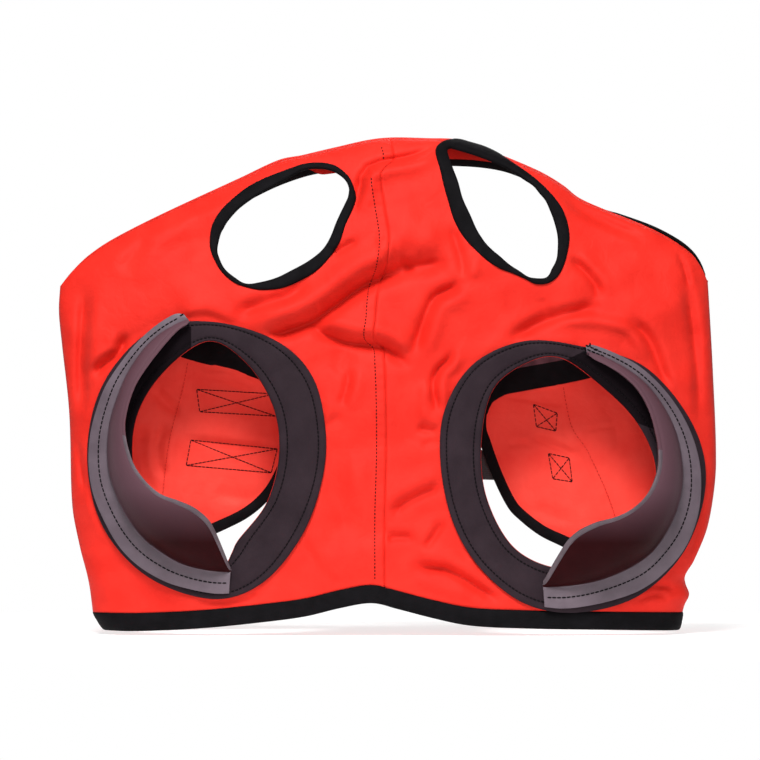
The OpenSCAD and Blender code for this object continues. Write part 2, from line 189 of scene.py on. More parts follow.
def nearest(line: Array, x: Array, z: Array) -> tuple[Array, Array, Array]:
    """Where flat points lie against an open line.

    Args:
        line: Points of the line.
        x: First values of the points.
        z: Second values of the points.

    Returns:
        Distance, positive to the left of the line; share of the way along; nearest point.
    """
    best = np.full(np.shape(x), 1e9)
    signed, share = np.zeros(np.shape(x)), np.zeros(np.shape(x))
    spot = np.zeros(np.shape(x) + (2,))
    run = np.concatenate([[0], np.cumsum(np.linalg.norm(np.diff(line, axis=0), axis=1))])
    for k in range(len(line) - 1):
        a, d = line[k], line[k + 1] - line[k]
        length = max(float(np.hypot(*d)), 1e-9)
        f = np.clip(((x - a[0]) * d[0] + (z - a[1]) * d[1]) / length**2, 0, 1)
        qx, qz = a[0] + d[0] * f, a[1] + d[1] * f
        gap = np.hypot(x - qx, z - qz)
        near = gap < best
        side = np.sign(d[0] * (z - a[1]) - d[1] * (x - a[0]))
        best = np.where(near, gap, best)
        signed = np.where(near, gap * side, signed)
        share = np.where(near, (run[k] + f * length) / run[-1], share)
        spot = np.where(near[..., None], np.stack([qx, qz], -1), spot)
    return signed, share, spot


# --- shape of the hood ----------------------------------------------------------------------


@dataclass(frozen=True)
class Crease:
    """One fold or valley in the fabric."""

    path: Flat
    ridge: float
    lip: float = 0.0
    width: float = 5.0
    free: bool = False

    def relief(self, x: Array, z: Array) -> Array:
        """How far the crease lifts the fabric.

        Args:
            x: First values of the points.
            z: Second values of the points.

        Returns:
            The lift at each point.
        """
        line = Curve(self.path).even(14)
        signed, share, _ = nearest(line, x, z)
        q = signed / self.width
        ends = smooth(share / 0.25) * smooth((1 - share) / 0.25)
        body = self.ridge * np.exp(-q * q)
        p = q / np.where(q * self.lip > 0, 1.25, 0.6)
        return (body + self.lip * p * np.exp(0.5 * (1 - p * p))) * ends


@dataclass
class HoodShape:
    """Outlines and surfaces that every piece of the hood lies on."""

    depth: float = 40.0
    side_depth: float = 18.0
    flap_rise: float = 7.0
    flap_ease: float = 90.0
    flap_gap: float = 1.4
    tape_w: float = 12.0
    hem_z: float = -316.0
    shoulder_z: float = -97.0
    crown_line: Flat = ((-214, -98), (-205, -87), (-196, -79), (-180, -68), (-147, -51), (-93, -26),
                        (-67, -14), (-52, -11), (-33, -6.5), (0, 0.3), (33, 0.3), (54, -1),
                        (80, -10.5), (107, -22), (122, -31), (132, -39), (147, -46), (180, -59.5),
                        (199, -70), (209, -78), (215, -86), (218, -93))
    hem_line: Flat = ((-192, -316), (-160, -316), (-120, -314), (-80, -310), (-50, -306),
                      (-25, -300), (-5, -297), (12, -301), (35, -307), (60, -312), (100, -314),
                      (150, -315), (203, -316))
    left_fold: Flat = ((-318, -191), (-297, -194), (-274, -200), (-247, -205), (-187, -207),
                       (-137, -212), (-114, -214), (-96, -213))
    right_fold: Flat = ((-318, 201), (-311, 203), (-305, 206), (-300, 204), (-294, 203),
                        (-284, 209), (-264, 217), (-240, 222), (-215, 224), (-160, 222),
                        (-107, 219), (-86, 217.5))
    neck_line: Flat = ((-206, -104), (-160, -81), (-120, -58), (-82, -37), (-62, -28), (-41, -22),
                       (0, -18), (50, -17), (80, -20), (102, -28), (120, -37), (147, -52),
                       (160, -56), (180, -61), (193, -66), (203, -72), (210, -79), (216, -88))
    neck_back: Flat = ((-203, 8), (-160, 10), (88, 10), (108, 1), (190, 0.8), (218, 0.8))
    left_ring: Flat = ((-112, -122), (-70, -134), (-45, -158), (-36, -195), (-39, -230),
                       (-53, -266), (-79, -296), (-112, -306), (-155, -291), (-185, -257),
                       (-195, -210), (-184, -163), (-152, -128))
    left_eye: Flat = ((-115, -135), (-89, -149), (-71, -178), (-67, -210), (-75, -242),
                      (-94, -267), (-98, -275), (-104, -284), (-120, -283), (-146, -266),
                      (-162, -230), (-163, -190), (-146, -158))
    right_ring: Flat = ((132, -138), (95, -135), (62, -150), (43, -180), (40, -215), (48, -254),
                        (66, -285), (96, -309), (132, -315), (172, -304), (203, -274),
                        (217, -230), (208, -190), (176, -152))
    right_eye: Flat = ((120, -146), (98, -149), (75, -167), (67, -203), (71, -240), (90, -273),
                       (122, -286), (155, -277), (178, -250), (183, -218), (170, -188),
                       (145, -163))
    left_ear: Flat = ((-106, -64), (-108, -73), (-107, -79), (-103, -87), (-96, -93), (-89, -97),
                      (-80, -96), (-69, -93), (-59, -88), (-48, -82), (-39, -75), (-33, -66),
                      (-29, -56), (-24, -45), (-21, -38), (-21, -32), (-24, -27), (-31, -22),
                      (-40, -20), (-51, -21), (-62, -27), (-75, -34), (-85, -40), (-94, -47),
                      (-101, -55), (-104, -60))
    left_ear_edge: Flat = ((-113, -64), (-113, -73), (-110, -81), (-105, -89), (-97, -96),
                           (-89, -99), (-79, -101), (-66, -100), (-55, -96), (-43, -89),
                           (-34, -80), (-27, -70), (-23, -58), (-18, -47), (-16, -39),
                           (-18, -31), (-22, -24), (-30, -18), (-40, -16), (-51, -17),
                           (-63, -21), (-78, -27), (-89, -33), (-99, -41), (-106, -48),
                           (-111, -56))
    right_ear: Flat = ((45, -8), (46, -13), (49, -21), (52, -29), (55, -40), (60, -51), (65, -62),
                       (72, -72), (79, -78), (86, -84), (92, -88), (98, -92), (103, -93),
                       (109, -93), (112, -91), (114, -87), (117, -81), (118, -74), (118, -65),
                       (116, -56), (113, -48), (110, -41), (106, -36), (102, -31), (96, -27),
                       (87, -21), (77, -16), (67, -12), (58, -9), (51, -7), (47, -6))
    right_ear_edge: Flat = ((38, -5), (37, -10), (40, -21), (42, -30), (45, -41), (49, -54),
                            (55, -65), (63, -74), (72, -82), (80, -87), (88, -90), (97, -94),
                            (103, -97), (110, -97), (116, -94), (120, -89), (123, -82),
                            (125, -74), (126, -66), (125, -57), (122, -48), (118, -42),
                            (113, -36), (107, -30), (100, -24), (90, -17), (80, -10), (70, -5),
                            (60, -2), (52, 0), (44, -1))
    neck_proud: Flat = ((-300, 9), (94, 9), (106, -1.5), (140, -0.6), (154, 1.0), (170, 2.0),
                        (187, 3.0), (199, 3.4), (209, 3.4), (214, 2.8), (218, 1.4))
    seam_line: Flat = ((-301, 3), (-250, 3), (-214, 4), (-180, 4), (-150, 3), (-140, 2),
                       (-133, -4), (-120, -3), (-100, -1), (-85, 4), (-66, 6), (-45, 3),
                       (-24, 0.6), (-19, 4), (-15, 9), (-5, 8), (0, 6))
    hinge: dict[Side, float] = field(default_factory=lambda: {Side.LEFT: -180, Side.RIGHT: 188})
    flap_top: dict[Side, Flat] = field(default_factory=lambda: {
        Side.LEFT: ((-180, -116), (-160, -123), (-129, -134), (-93, -144), (-72, -151),
                    (-60, -161), (-56, -178)),
        Side.RIGHT: ((188, -123), (160, -140), (140, -147), (122, -151), (90, -157), (77, -161),
                     (67, -170), (63, -184))})
    flap_low: dict[Side, Flat] = field(default_factory=lambda: {
        Side.LEFT: ((-180, -308), (-153, -284), (-127, -271), (-106, -262), (-87, -252),
                    (-72, -238), (-62, -220), (-56, -202)),
        Side.RIGHT: ((188, -306), (167, -294), (140, -281), (121, -272), (107, -265),
                     (94, -255), (85, -245), (74, -222), (63, -192))})
    creases: tuple[Crease, ...] = (
        # the long fold under the forehead and the folds beside it
        Crease(((-90, -134), (-80, -131), (-66, -126), (-47, -119), (-33, -110), (-20, -100),
                (-7, -92), (8, -88), (22, -88)), -1.6, 4.0, 7.0),
        Crease(((-100, -115), (-80, -110), (-62, -105), (-53, -98), (-50, -90)), -1.7, 0.7, 4.5),
        Crease(((-7, -84), (17, -82), (30, -80), (47, -78)), -1.6, 2.3, 9),
        Crease(((14, -79), (19, -84), (21, -91)), -1.2, 0.6, 3),
        Crease(((-48, -119), (-37, -127), (-22, -133), (-3, -135), (6, -138), (16, -145),
                (24, -152)), -1.0, 2.7, 5.5),
        Crease(((-22, -138), (-24, -150), (-30, -158)), -1.0, 0.4, 7),
        Crease(((-19, -152), (-20, -164), (-25, -180)), -1.0, 0.9, 3.6),
        Crease(((-43, -196), (-33, -188), (-25, -182)), -0.9, 0.5, 4),
        # down from the right ear
        Crease(((57, -93), (50, -101), (38, -107), (32, -119), (27, -134), (20, -149)),
               -1.5, 1.8, 4.5),
        Crease(((47, -57), (52, -71), (55, -82), (56, -94)), -1.2, 0.5, 3.2),
        Crease(((66, -72), (64, -84), (60, -95)), 0.9, 0.0, 4),
        # from the right ear's foot, and round over the right ring
        Crease(((127, -77), (133, -84), (140, -91), (145, -98), (147, -108)), -1.7, 0.9, 3.6),
        Crease(((148, -107), (140, -111), (127, -115), (107, -121), (90, -130), (82, -137)),
               -2.2, -0.9, 4.4),
        Crease(((107, -124), (125, -121), (147, -122), (165, -127), (173, -138), (178, -152)),
               1.7, 0.0, 4.5),
        Crease(((163, -118), (176, -128), (184, -142), (190, -160), (195, -172)), -1.7, 0.8, 4),
        Crease(((108, -106), (109, -112), (112, -117)), -0.7, 0.0, 3),
        Crease(((203, -88), (208, -112), (212, -140), (214, -170), (213, -192)), -1.9, 0.5, 5),
        Crease(((198, -72), (203, -84), (207, -100)), -0.9, 0.4, 2.6),
        Crease(((116, -33), (123, -39), (133, -46), (147, -54), (165, -62), (180, -68)),
               -2.3, -1.0, 4.2),
        # puckers beside the right ring
        Crease(((50, -138), (46, -148), (40, -154), (37, -162), (38, -174), (41, -184)),
               -1.5, 1.7, 3),
        Crease(((24, -191), (33, -193), (41, -194)), -1.5, 0.6, 3.5),
        Crease(((26, -204), (36, -201), (42, -201)), -1.0, 0.4, 3),
        Crease(((32, -160), (29, -176), (31, -188)), 0.9, 0.0, 4),
        # low in the middle
        Crease(((43, -230), (34, -232), (25, -236), (13, -243), (6, -251)), -1.7, -1.0, 4),
        Crease(((3, -265), (12, -264), (24, -264)), -1.5, 0.6, 3.4),
        Crease(((42, -252), (36, -262), (28, -273)), -1.3, -0.7, 3.2),
        Crease(((18, -281), (30, -283), (44, -285), (56, -291), (70, -300), (86, -309)),
               -2.1, 1.5, 4),
        Crease(((22, -292), (40, -299), (60, -305)), 0.8, 0.0, 4),
        Crease(((-40, -221), (-23, -241), (-20, -267)), -0.8, 0.5, 9),
        Crease(((-53, -254), (-37, -281), (-18, -297)), 0.9, 0.7, 8),
        Crease(((-27, -190), (-17, -215), (-15, -240)), 0.8, 0.0, 7),
        # left side
        Crease(((-192, -160), (-187, -151), (-180, -146), (-174, -142), (-172, -134),
                (-170, -127)), -1.9, 1.4, 4),
        Crease(((-194, -95), (-196, -115), (-198, -140), (-199, -165), (-199, -188)),
               -2.3, 0.7, 5),
        Crease(((-205, -195), (-201, -208), (-198, -222), (-195, -236)), -1.5, 0.7, 3.2),
        Crease(((-124, -307), (-105, -308), (-88, -306), (-76, -298)), -1.5, 0.7, 2.6),
        Crease(((-103, -37), (-115, -42), (-126, -45), (-135, -50), (-138, -60)), -1.7, 0.6, 4.5),
        Crease(((-152, -66), (-162, -79), (-172, -92)), -0.9, 0.5, 6),
        Crease(((-185, -93), (-163, -82), (-140, -67), (-118, -53)), 1.2, 0.8, 13),
        Crease(((-135, -118), (-118, -114), (-104, -118), (-93, -125)), 1.0, 0.6, 5),
        # between the ears
        Crease(((-33, -78), (-24, -72), (-14, -67)), -1.0, 0.5, 2.6),
        Crease(((-19, -52), (-15.5, -43), (-13, -33), (-12.5, -24)), -2.2, 0.0, 2.6, True),
        Crease(((14, -30), (17, -52), (14, -72)), 1.0, 0.0, 8),
        Crease(((-18, -50), (-13, -38), (-10.5, -27), (-8, -21.5), (0, -18), (9, -16), (23, -13),
                (33, -9), (42, -4)), -1.0, -4.0, 3.8, True),
        # right side, low
        Crease(((163, -300), (180, -296), (200, -300)), -1.3, 0.7, 3.2),
        Crease(((170, -308), (182, -303), (194, -305)), -0.9, 0.5, 2.6),
        Crease(((206, -240), (213, -254), (208, -282)), -1.3, 0.6, 4))

    fold_scale: float = 2.3
    wave_count: int = 22
    wave_pitch: tuple[float, float] = (16.0, 90.0)
    wave_height: float = 0.0028
    seam_groove: float = 1.3

    def __post_init__(self) -> None:
        """Make the curves from their points."""
        self.crown, self.hem = Graph(self.crown_line), Graph(self.hem_line)
        self.fold = {Side.LEFT: Graph(self.left_fold), Side.RIGHT: Graph(self.right_fold)}
        self.neck, self.neck_y = Graph(self.neck_line), Graph(self.neck_back)
        self.seam, self.proud = Graph(self.seam_line), Graph(self.neck_proud)
        self.rings = {Side.LEFT: Curve(self.left_ring, True), Side.RIGHT: Curve(self.right_ring, True)}
        self.eyes = {Side.LEFT: Curve(self.left_eye, True), Side.RIGHT: Curve(self.right_eye, True)}
        self.ears = {Side.LEFT: Curve(self.left_ear, True), Side.RIGHT: Curve(self.right_ear, True)}
        self.ear_edges = {Side.LEFT: Curve(self.left_ear_edge, True),
                          Side.RIGHT: Curve(self.right_ear_edge, True)}
        rng = np.random.default_rng(7)
        angle = rng.uniform(0, 2 * math.pi, self.wave_count)
        pitch = rng.uniform(*self.wave_pitch, self.wave_count)
        phase = rng.uniform(0, 2 * math.pi, self.wave_count)
        self.waves = np.stack([np.cos(angle) / pitch, np.sin(angle) / pitch, phase,
                               self.wave_height * pitch])

    def across(self, x: Array, z: Array) -> Array:
        """Share of the way from the left side fold to the right one."""
        a, b = self.fold[Side.LEFT].at(z), self.fold[Side.RIGHT].at(z)
        return np.clip((x - a) / (b - a), 0, 1)

    def up(self, x: Array, z: Array) -> Array:
        """Share of the way from the hem to the crown."""
        a, b = self.hem.at(x), self.crown.at(x)
        return np.clip((z - a) / (b - a), 0, 1)

    def base(self, x: Array, z: Array) -> Array:
        """Depth of the smooth face side, without its folds."""
        u, v = self.across(x, z), self.up(x, z)
        arch = (1 - np.minimum(np.abs(2 * u - 1), 1) ** 2.4) ** (1 / 2.4)
        return -self.depth * arch * (1 - v**5) ** (1 / 2.2)

    def ring_calm(self, x: Array, z: Array) -> Array:
        """How much of the folds is left at each point; the sewn rings calm them."""
        calm = np.ones(np.shape(x))
        for side in Side:
            ring = self.rings[side].even(90)
            gap = np.abs(nearest(np.vstack([ring, ring[:1]]), x, z)[0])
            calm = np.where(inside(ring, x, z), 0.15 + 0.25 * np.exp(-((gap / 3) ** 2)),
                            np.minimum(calm, 0.4 + 0.6 * smooth(gap / 5)))
        return calm

    def relief(self, x: Array, z: Array) -> Array:
        """Forward lift of the fabric by its folds and slow waves.

        Args:
            x: First values of the points.
            z: Second values of the points.

        Returns:
            The lift at each point.
        """
        x, z = np.asarray(x, float), np.asarray(z, float)
        lift, free = np.zeros(x.shape), np.zeros(x.shape)
        for crease in self.creases:
            part = crease.relief(x, z)
            if crease.free:
                free += part
            else:
                lift += part
        for kx, kz, phase, size in self.waves.T:
            lift += size * np.sin(2 * math.pi * (kx * x + kz * z) + phase)
        edge = np.minimum(x - self.fold[Side.LEFT].at(z), self.fold[Side.RIGHT].at(z) - x)
        lift *= smooth(edge / 14) * smooth((self.crown.at(x) - z) / 16)
        lift *= 0.35 + 0.65 * smooth((z - self.hem.at(x)) / 12)
        away = x - self.seam.at(z)
        ridge = 0.45 * smooth((away + 8.5) / 2) * smooth((0.6 - away) / 1.2)
        seam = ridge - self.seam_groove * np.exp(-((away / 0.8) ** 2))
        pucker = 0.22 * np.sin(z * 0.9 + 2 * np.sin(z / 11)) * np.exp(-(((away + 3.5) / 5) ** 2))
        return self.fold_scale * lift * self.ring_calm(x, z) + seam + pucker + free * smooth(edge / 14)

    def face(self, x: Array, z: Array, off: Array | float = 0.0, folds: float = 1.0) -> Array:
        """Points on the face side.

        Args:
            x: First values of the points.
            z: Third values of the points.
            off: How far in front of the fabric's middle each point stands.
            folds: Share of the fabric's folds that the points follow.

        Returns:
            The points, with one more dimension than x.
        """
        x, z = np.broadcast_arrays(np.asarray(x, float), np.asarray(z, float))
        e = 1.0

        def height(px: Array, pz: Array) -> Array:
            """Depth of the fabric with its folds."""
            return self.base(px, pz) - folds * self.relief(px, pz)

        y = height(x, z)
        if np.any(off):
            steep = np.hypot((height(x + e, z) - height(x - e, z)) / (2 * e),
                             (height(x, z + e) - height(x, z - e)) / (2 * e))
            y = y - np.asarray(off, float) * np.sqrt(1 + np.minimum(steep, 1.2) ** 2)
        return np.stack([x, y, z], -1)

    def reach(self, x: Array) -> Array:
        """How far in from the hinge line of its flap each place lies."""
        return np.where(x < 0, x - self.hinge[Side.LEFT], self.hinge[Side.RIGHT] - x)

    def flap_start(self, side: Side) -> float:
        """Where a flap's own cloth begins, just outside its hinge line."""
        return self.hinge[side] + side.value * self.flap_gap

    def throat_rest(self, x: Array) -> Array:
        """Depth of the throat flaps without their folds."""
        return self.side_depth + self.flap_rise * smooth(self.reach(x) / self.flap_ease)

    def throat(self, x: Array, z: Array, off: Array | float = 0.0) -> Array:
        """Points on the throat side, off behind the fabric's middle."""
        x, z = np.broadcast_arrays(np.asarray(x, float), np.asarray(z, float))
        y = self.throat_rest(x) - self.throat_relief(x, z)
        return np.stack([x, y + off, z], -1)

    def throat_relief(self, x: Array, z: Array) -> Array:
        """Lift of the throat flaps towards the face side by their small folds."""
        lift = np.zeros(np.shape(x))
        for path, high, lip, width in (
                (((-122, -151), (-107, -153), (-93, -157), (-77, -167)), -1.2, 0.6, 2.6),
                (((-115, -158), (-98, -162), (-79, -170)), -0.9, 0.4, 2.2),
                (((-134, -198), (-113, -202), (-93, -204), (-66, -206)), -2.0, 0.9, 3.2),
                (((-112, -234), (-95, -238), (-78, -238)), -1.0, 0.5, 5),
                (((-152, -165), (-146, -172), (-140, -178), (-132, -182)), -2.2, 0.8, 4),
                (((-142, -188), (-148, -203), (-148, -216), (-143, -229)), -3.8, 0.8, 4),
                (((-160, -188), (-159, -215), (-153, -240)), -3.6, 0.8, 7),
                (((83, -171), (100, -173), (117, -176), (125, -174)), -0.9, 0.4, 2.4),
                (((133, -195), (146, -193), (160, -191)), -0.6, 0.2, 1.4),
                (((84, -204), (94, -203), (104, -204)), -0.8, 0.3, 2.6),
                (((98, -197), (113, -202), (127, -208), (136, -213)), -1.5, 0.7, 3.2),
                (((150, -170), (160, -190), (163, -215)), -1.4, 0.5, 6),
                (((100, -244), (115, -250), (132, -256)), -1.1, 0.5, 5)):
            lift += Crease(path, high, lip, width).relief(x, z)
        return 1.1 * lift * smooth(self.reach(x) / 10)

    def wrap(self, side: Side, s: Array, b: Array) -> Array:
        """Points from a side fold, at s 0, round to the hinge line of its flap, at s 1."""
        low, top = self.wrap_ends(side)
        fx = self.fold[side].at(lerp(self.hem_z, self.shoulder_z, b))
        hx = self.flap_start(side)
        z0 = lerp(self.hem.at(fx) + 0.3, self.crown.at(fx), b)
        z1 = lerp(low, top, b)
        a = s * math.pi / 2
        return np.stack([lerp(fx, hx, 1 - np.cos(a)), self.side_depth * np.sin(a),
                         lerp(z0, z1, smooth(s))], -1)

    def wrap_ends(self, side: Side) -> tuple[float, float]:
        """Lowest and highest z of the fabric at the hinge line."""
        return self.flap_low[side][0][1] + self.tape_w, self.flap_top[side][0][1] - self.tape_w

    def flap_edge(self, side: Side, top: bool) -> tuple[Array, Array]:
        """A flap's edge as x in rising order and z, for interpolation."""
        line = Curve((self.flap_top if top else self.flap_low)[side]).at(np.linspace(0, 1, 200))
        order = np.argsort(line[:, 0])
        return line[order, 0], line[order, 1]


# --- meshes ---------------------------------------------------------------------------------


def select_none() -> None:
    """Clear the selection."""
    for other in bpy.context.selected_objects:
        other.select_set(False)


def only(obj: bpy.types.Object) -> None:
    """Select one object alone and make it the active one."""
    select_none()
    obj.select_set(True)
    bpy.context.view_layer.objects.active = obj


def mesh_piece(name: str, points: Array, faces: Sequence[Sequence[int]],
               uv: Optional[Array] = None) -> bpy.types.Object:
    """Make a piece from points in millimetres.

    Args:
        name: Name of the piece.
        points: The vertices.
        faces: Corners of each face.
        uv: A place on the cloth for each vertex, in millimetres.

    Returns:
        The new object.
    """
    mesh = bpy.data.meshes.new(name)
    mesh.from_pydata((np.asarray(points) * MM).tolist(), [], [list(f) for f in faces])
    mesh.update()
    if uv is not None:
        layer = mesh.uv_layers.new(name="cloth")
        corners = np.empty(len(mesh.loops), np.int32)
        mesh.loops.foreach_get("vertex_index", corners)
        layer.data.foreach_set("uv", (np.asarray(uv)[corners] * MM).astype(np.float32).ravel())
    obj = bpy.data.objects.new(name, mesh)
    bpy.context.collection.objects.link(obj)
    mesh.polygons.foreach_set("use_smooth", [True] * len(mesh.polygons))
    return obj


def grid_faces(n: int, m: int, round_n: bool = False, round_m: bool = False,
               flip: bool = False) -> list[tuple[int, int, int, int]]:
    """Faces of a grid of n by m points.

    Args:
        n: Points along the first way.
        m: Points along the second way.
        round_n: Whether the first way closes on itself.
        round_m: Whether the second way closes on itself.
        flip: Whether the faces look the other way.

    Returns:
        Corners of each face.
    """
    faces = []
    for i in range(n if round_n else n - 1):
        for j in range(m if round_m else m - 1):
            a, b = i * m + j, ((i + 1) % n) * m + j
            c, d = ((i + 1) % n) * m + (j + 1) % m, i * m + (j + 1) % m
            faces.append((a, d, c, b) if flip else (a, b, c, d))
    return faces


def finish_sheet(obj: bpy.types.Object, thickness: float) -> None:
    """Give a cloth its thickness, in millimetres, about its middle."""
    only(obj)
    solid = obj.modifiers.new("cloth", "SOLIDIFY")
    solid.thickness = thickness * MM
    solid.offset = 0.0
    solid.use_even_offset = False
    bpy.ops.object.modifier_apply(modifier=solid.name)
    obj.data.polygons.foreach_set("use_smooth", [True] * len(obj.data.polygons))


def band(name: str, first: Array, second: Array, normal: Array, thickness: float,
         closed: bool, corners: int = TAPE_CORNERS, flatness: float = 0.55,
         arch: Optional[Array] = None) -> bpy.types.Object:
    """Sweep a folded tape with rounded edges between two lines.

    Args:
        name: Name of the piece.
        first: Points of one edge.
        second: Points of the other edge.
        normal: Way that the tape faces at each point.
        thickness: Thickness of the tape.
        closed: Whether the tape closes on itself.
        corners: Points round the section.
        flatness: Lower is flatter.
        arch: How far the tape's middle stands off the straight line between its edges.

    Returns:
        The piece.
    """
    middle, half = (first + second) / 2, (first - second) / 2
    normal = normal / np.linalg.norm(normal, axis=1, keepdims=True)
    angle = np.linspace(0, 2 * math.pi, corners, endpoint=False)
    c = np.sign(np.cos(angle)) * np.abs(np.cos(angle)) ** flatness
    s = np.sign(np.sin(angle)) * np.abs(np.sin(angle)) ** 0.8
    rings = (middle[:, None] + half[:, None] * c[None, :, None]
             + normal[:, None] * (s * thickness / 2)[None, :, None])
    if arch is not None:
        rings = rings + arch[:, None] * (1 - c**2)[None, :, None]
    n, m = rings.shape[:2]
    faces = grid_faces(n, m, closed, True)
    if not closed:
        faces = [tuple(f) for f in faces] + [tuple(range(m)), tuple(range((n - 1) * m, n * m))[::-1]]
    run = run_of(middle)
    width = np.linalg.norm(half, axis=1)
    uv = np.stack([np.repeat(run[:, None], m, 1), width[:, None] * c[None, :] + 0 * run[:, None]], -1)
    obj = mesh_piece(name, rings.reshape(-1, 3), faces, uv.reshape(-1, 2))
    outward(obj)
    return obj


def run_of(line: Array) -> Array:
    """How far along a line each of its points lies."""
    return np.concatenate([[0], np.cumsum(np.linalg.norm(np.diff(line, axis=0), axis=1))])


def outward(obj: bpy.types.Object) -> None:
    """Turn the faces of a closed piece outwards."""
    work = bmesh.new()
    work.from_mesh(obj.data)
    bmesh.ops.recalc_face_normals(work, faces=work.faces)
    work.to_mesh(obj.data)
    work.free()


class StitchMaker:
    """Models one stitch and repeats it along lines."""

    def __init__(self) -> None:
        """Model the stitch: a short rounded bar of thread, 1 long and 1 thick."""
        select_none()
        bpy.ops.mesh.primitive_cylinder_add(vertices=6, radius=0.5, depth=0.7, end_fill_type="NGON",
                                            rotation=(0, math.pi / 2, 0))
        obj = bpy.context.active_object
        bpy.ops.object.transform_apply(location=True, rotation=True, scale=True)
        bpy.ops.object.mode_set(mode="EDIT")
        bpy.ops.mesh.select_mode(type="FACE")
        bpy.ops.mesh.select_all(action="DESELECT")
        bpy.ops.object.mode_set(mode="OBJECT")
        for face in obj.data.polygons:
            face.select = abs(face.normal.x) > 0.9
        bpy.ops.object.mode_set(mode="EDIT")
        bpy.ops.mesh.extrude_region_shrink_fatten(TRANSFORM_OT_shrink_fatten={"value": 0.15})
        bpy.ops.transform.resize(value=(1, 0.45, 0.45))
        bpy.ops.object.mode_set(mode="OBJECT")
        self.points = np.array([v.co for v in obj.data.vertices])
        self.faces = [tuple(p.vertices) for p in obj.data.polygons]
        bpy.data.objects.remove(obj, do_unlink=True)

    def rows(self, name: str, rows: Iterable[tuple[Array, Array]], pitch: float = 3.0,
             length: float = 2.3, thickness: float = 0.7) -> bpy.types.Object:
        """Sew rows of stitches.

        Args:
            name: Name of the piece.
            rows: For each row, its points and the way that the cloth faces at each.
            pitch: From one stitch to the next.
            length: Length of a stitch.
            thickness: Thickness of the thread.

        Returns:
            One piece with every stitch.
        """
        points, faces, count = [], [], 0
        for line, up in rows:
            run = run_of(line)
            number = max(int(run[-1] / pitch), 1)
            for k in range(number):
                middle = (k + 0.5) * run[-1] / number
                a, b, c = (np.array([np.interp(middle + d, run, line[:, i]) for i in range(3)])
                           for d in (-length / 2, 0.0, length / 2))
                way = (c - a) / max(np.linalg.norm(c - a), 1e-9)
                face = np.array([np.interp(middle, run, up[:, i]) for i in range(3)])
                face -= way * face.dot(way)
                face /= np.linalg.norm(face)
                turn = np.stack([way * length, np.cross(face, way) * thickness, face * thickness])
                points.append(self.points @ turn + b)
                faces += [tuple(v + count for v in f) for f in self.faces]
                count += len(self.points)
        return mesh_piece(name, np.vstack(points), faces)


# --- finishes -------------------------------------------------------------------------------


class NodeBook:
    """Short ways to make the nodes of a finish."""

    def __init__(self, name: str) -> None:
        """Start a material with its shader."""
        self.material = bpy.data.materials.new(name)
        self.material.use_nodes = True
        self.tree = self.material.node_tree
        self.shader = self.tree.nodes["Principled BSDF"]

    def node(self, kind: str, **values: object) -> bpy.types.Node:
        """Add a node.

        Args:
            kind: Blender's name of the node.
            **values: Its properties, and inputs by their names with underscores for spaces.

        Returns:
            The node.
        """
        made = self.tree.nodes.new(kind)
        for key, value in values.items():
            if hasattr(made, key):
                setattr(made, key, value)
            else:
                made.inputs[key.replace("_", " ")].default_value = value
        return made

    def link(self, out: bpy.types.NodeSocket, into: bpy.types.NodeSocket) -> None:
        """Join two sockets."""
        self.tree.links.new(out, into)

    def place(self, cloth: bool) -> bpy.types.NodeSocket:
        """A place on the piece in millimetres, from its cloth map or from the object.

        Args:
            cloth: Whether to read the cloth map.

        Returns:
            The socket with the place.
        """
        if cloth:
            source = self.node("ShaderNodeUVMap", uv_map="cloth").outputs["UV"]
        else:
            source = self.node("ShaderNodeTexCoord").outputs["Object"]
        mapping = self.node("ShaderNodeMapping", Scale=(1 / MM, 1 / MM, 1 / MM))
        self.link(source, mapping.inputs["Vector"])
        return mapping.outputs["Vector"]

    def mix(self, share: bpy.types.NodeSocket, low: tuple, high: tuple) -> bpy.types.NodeSocket:
        """A colour between two by a share."""
        made = self.node("ShaderNodeMix", data_type="RGBA")
        colours = [s for s in made.inputs if s.type == "RGBA"]
        colours[0].default_value, colours[1].default_value = (*low, 1), (*high, 1)
        self.link(share, made.inputs["Factor"])
        return [s for s in made.outputs if s.type == "RGBA"][0]

    def bump(self, height: bpy.types.NodeSocket, strength: float, depth: float,
             before: Optional[bpy.types.NodeSocket] = None) -> bpy.types.NodeSocket:
        """Bump from a height, over another bump."""
        made = self.node("ShaderNodeBump", Strength=strength, Distance=depth * MM)
        self.link(height, made.inputs["Height"])
        if before is not None:
            self.link(before, made.inputs["Normal"])
        return made.outputs["Normal"]

    def ramp(self, value: bpy.types.NodeSocket, low: float, high: float) -> bpy.types.NodeSocket:
        """A value stretched from low..high to 0..1."""
        made = self.node("ShaderNodeMapRange")
        made.inputs["From Min"].default_value = low
        made.inputs["From Max"].default_value = high
        self.link(value, made.inputs["Value"])
        return made.outputs["Result"]


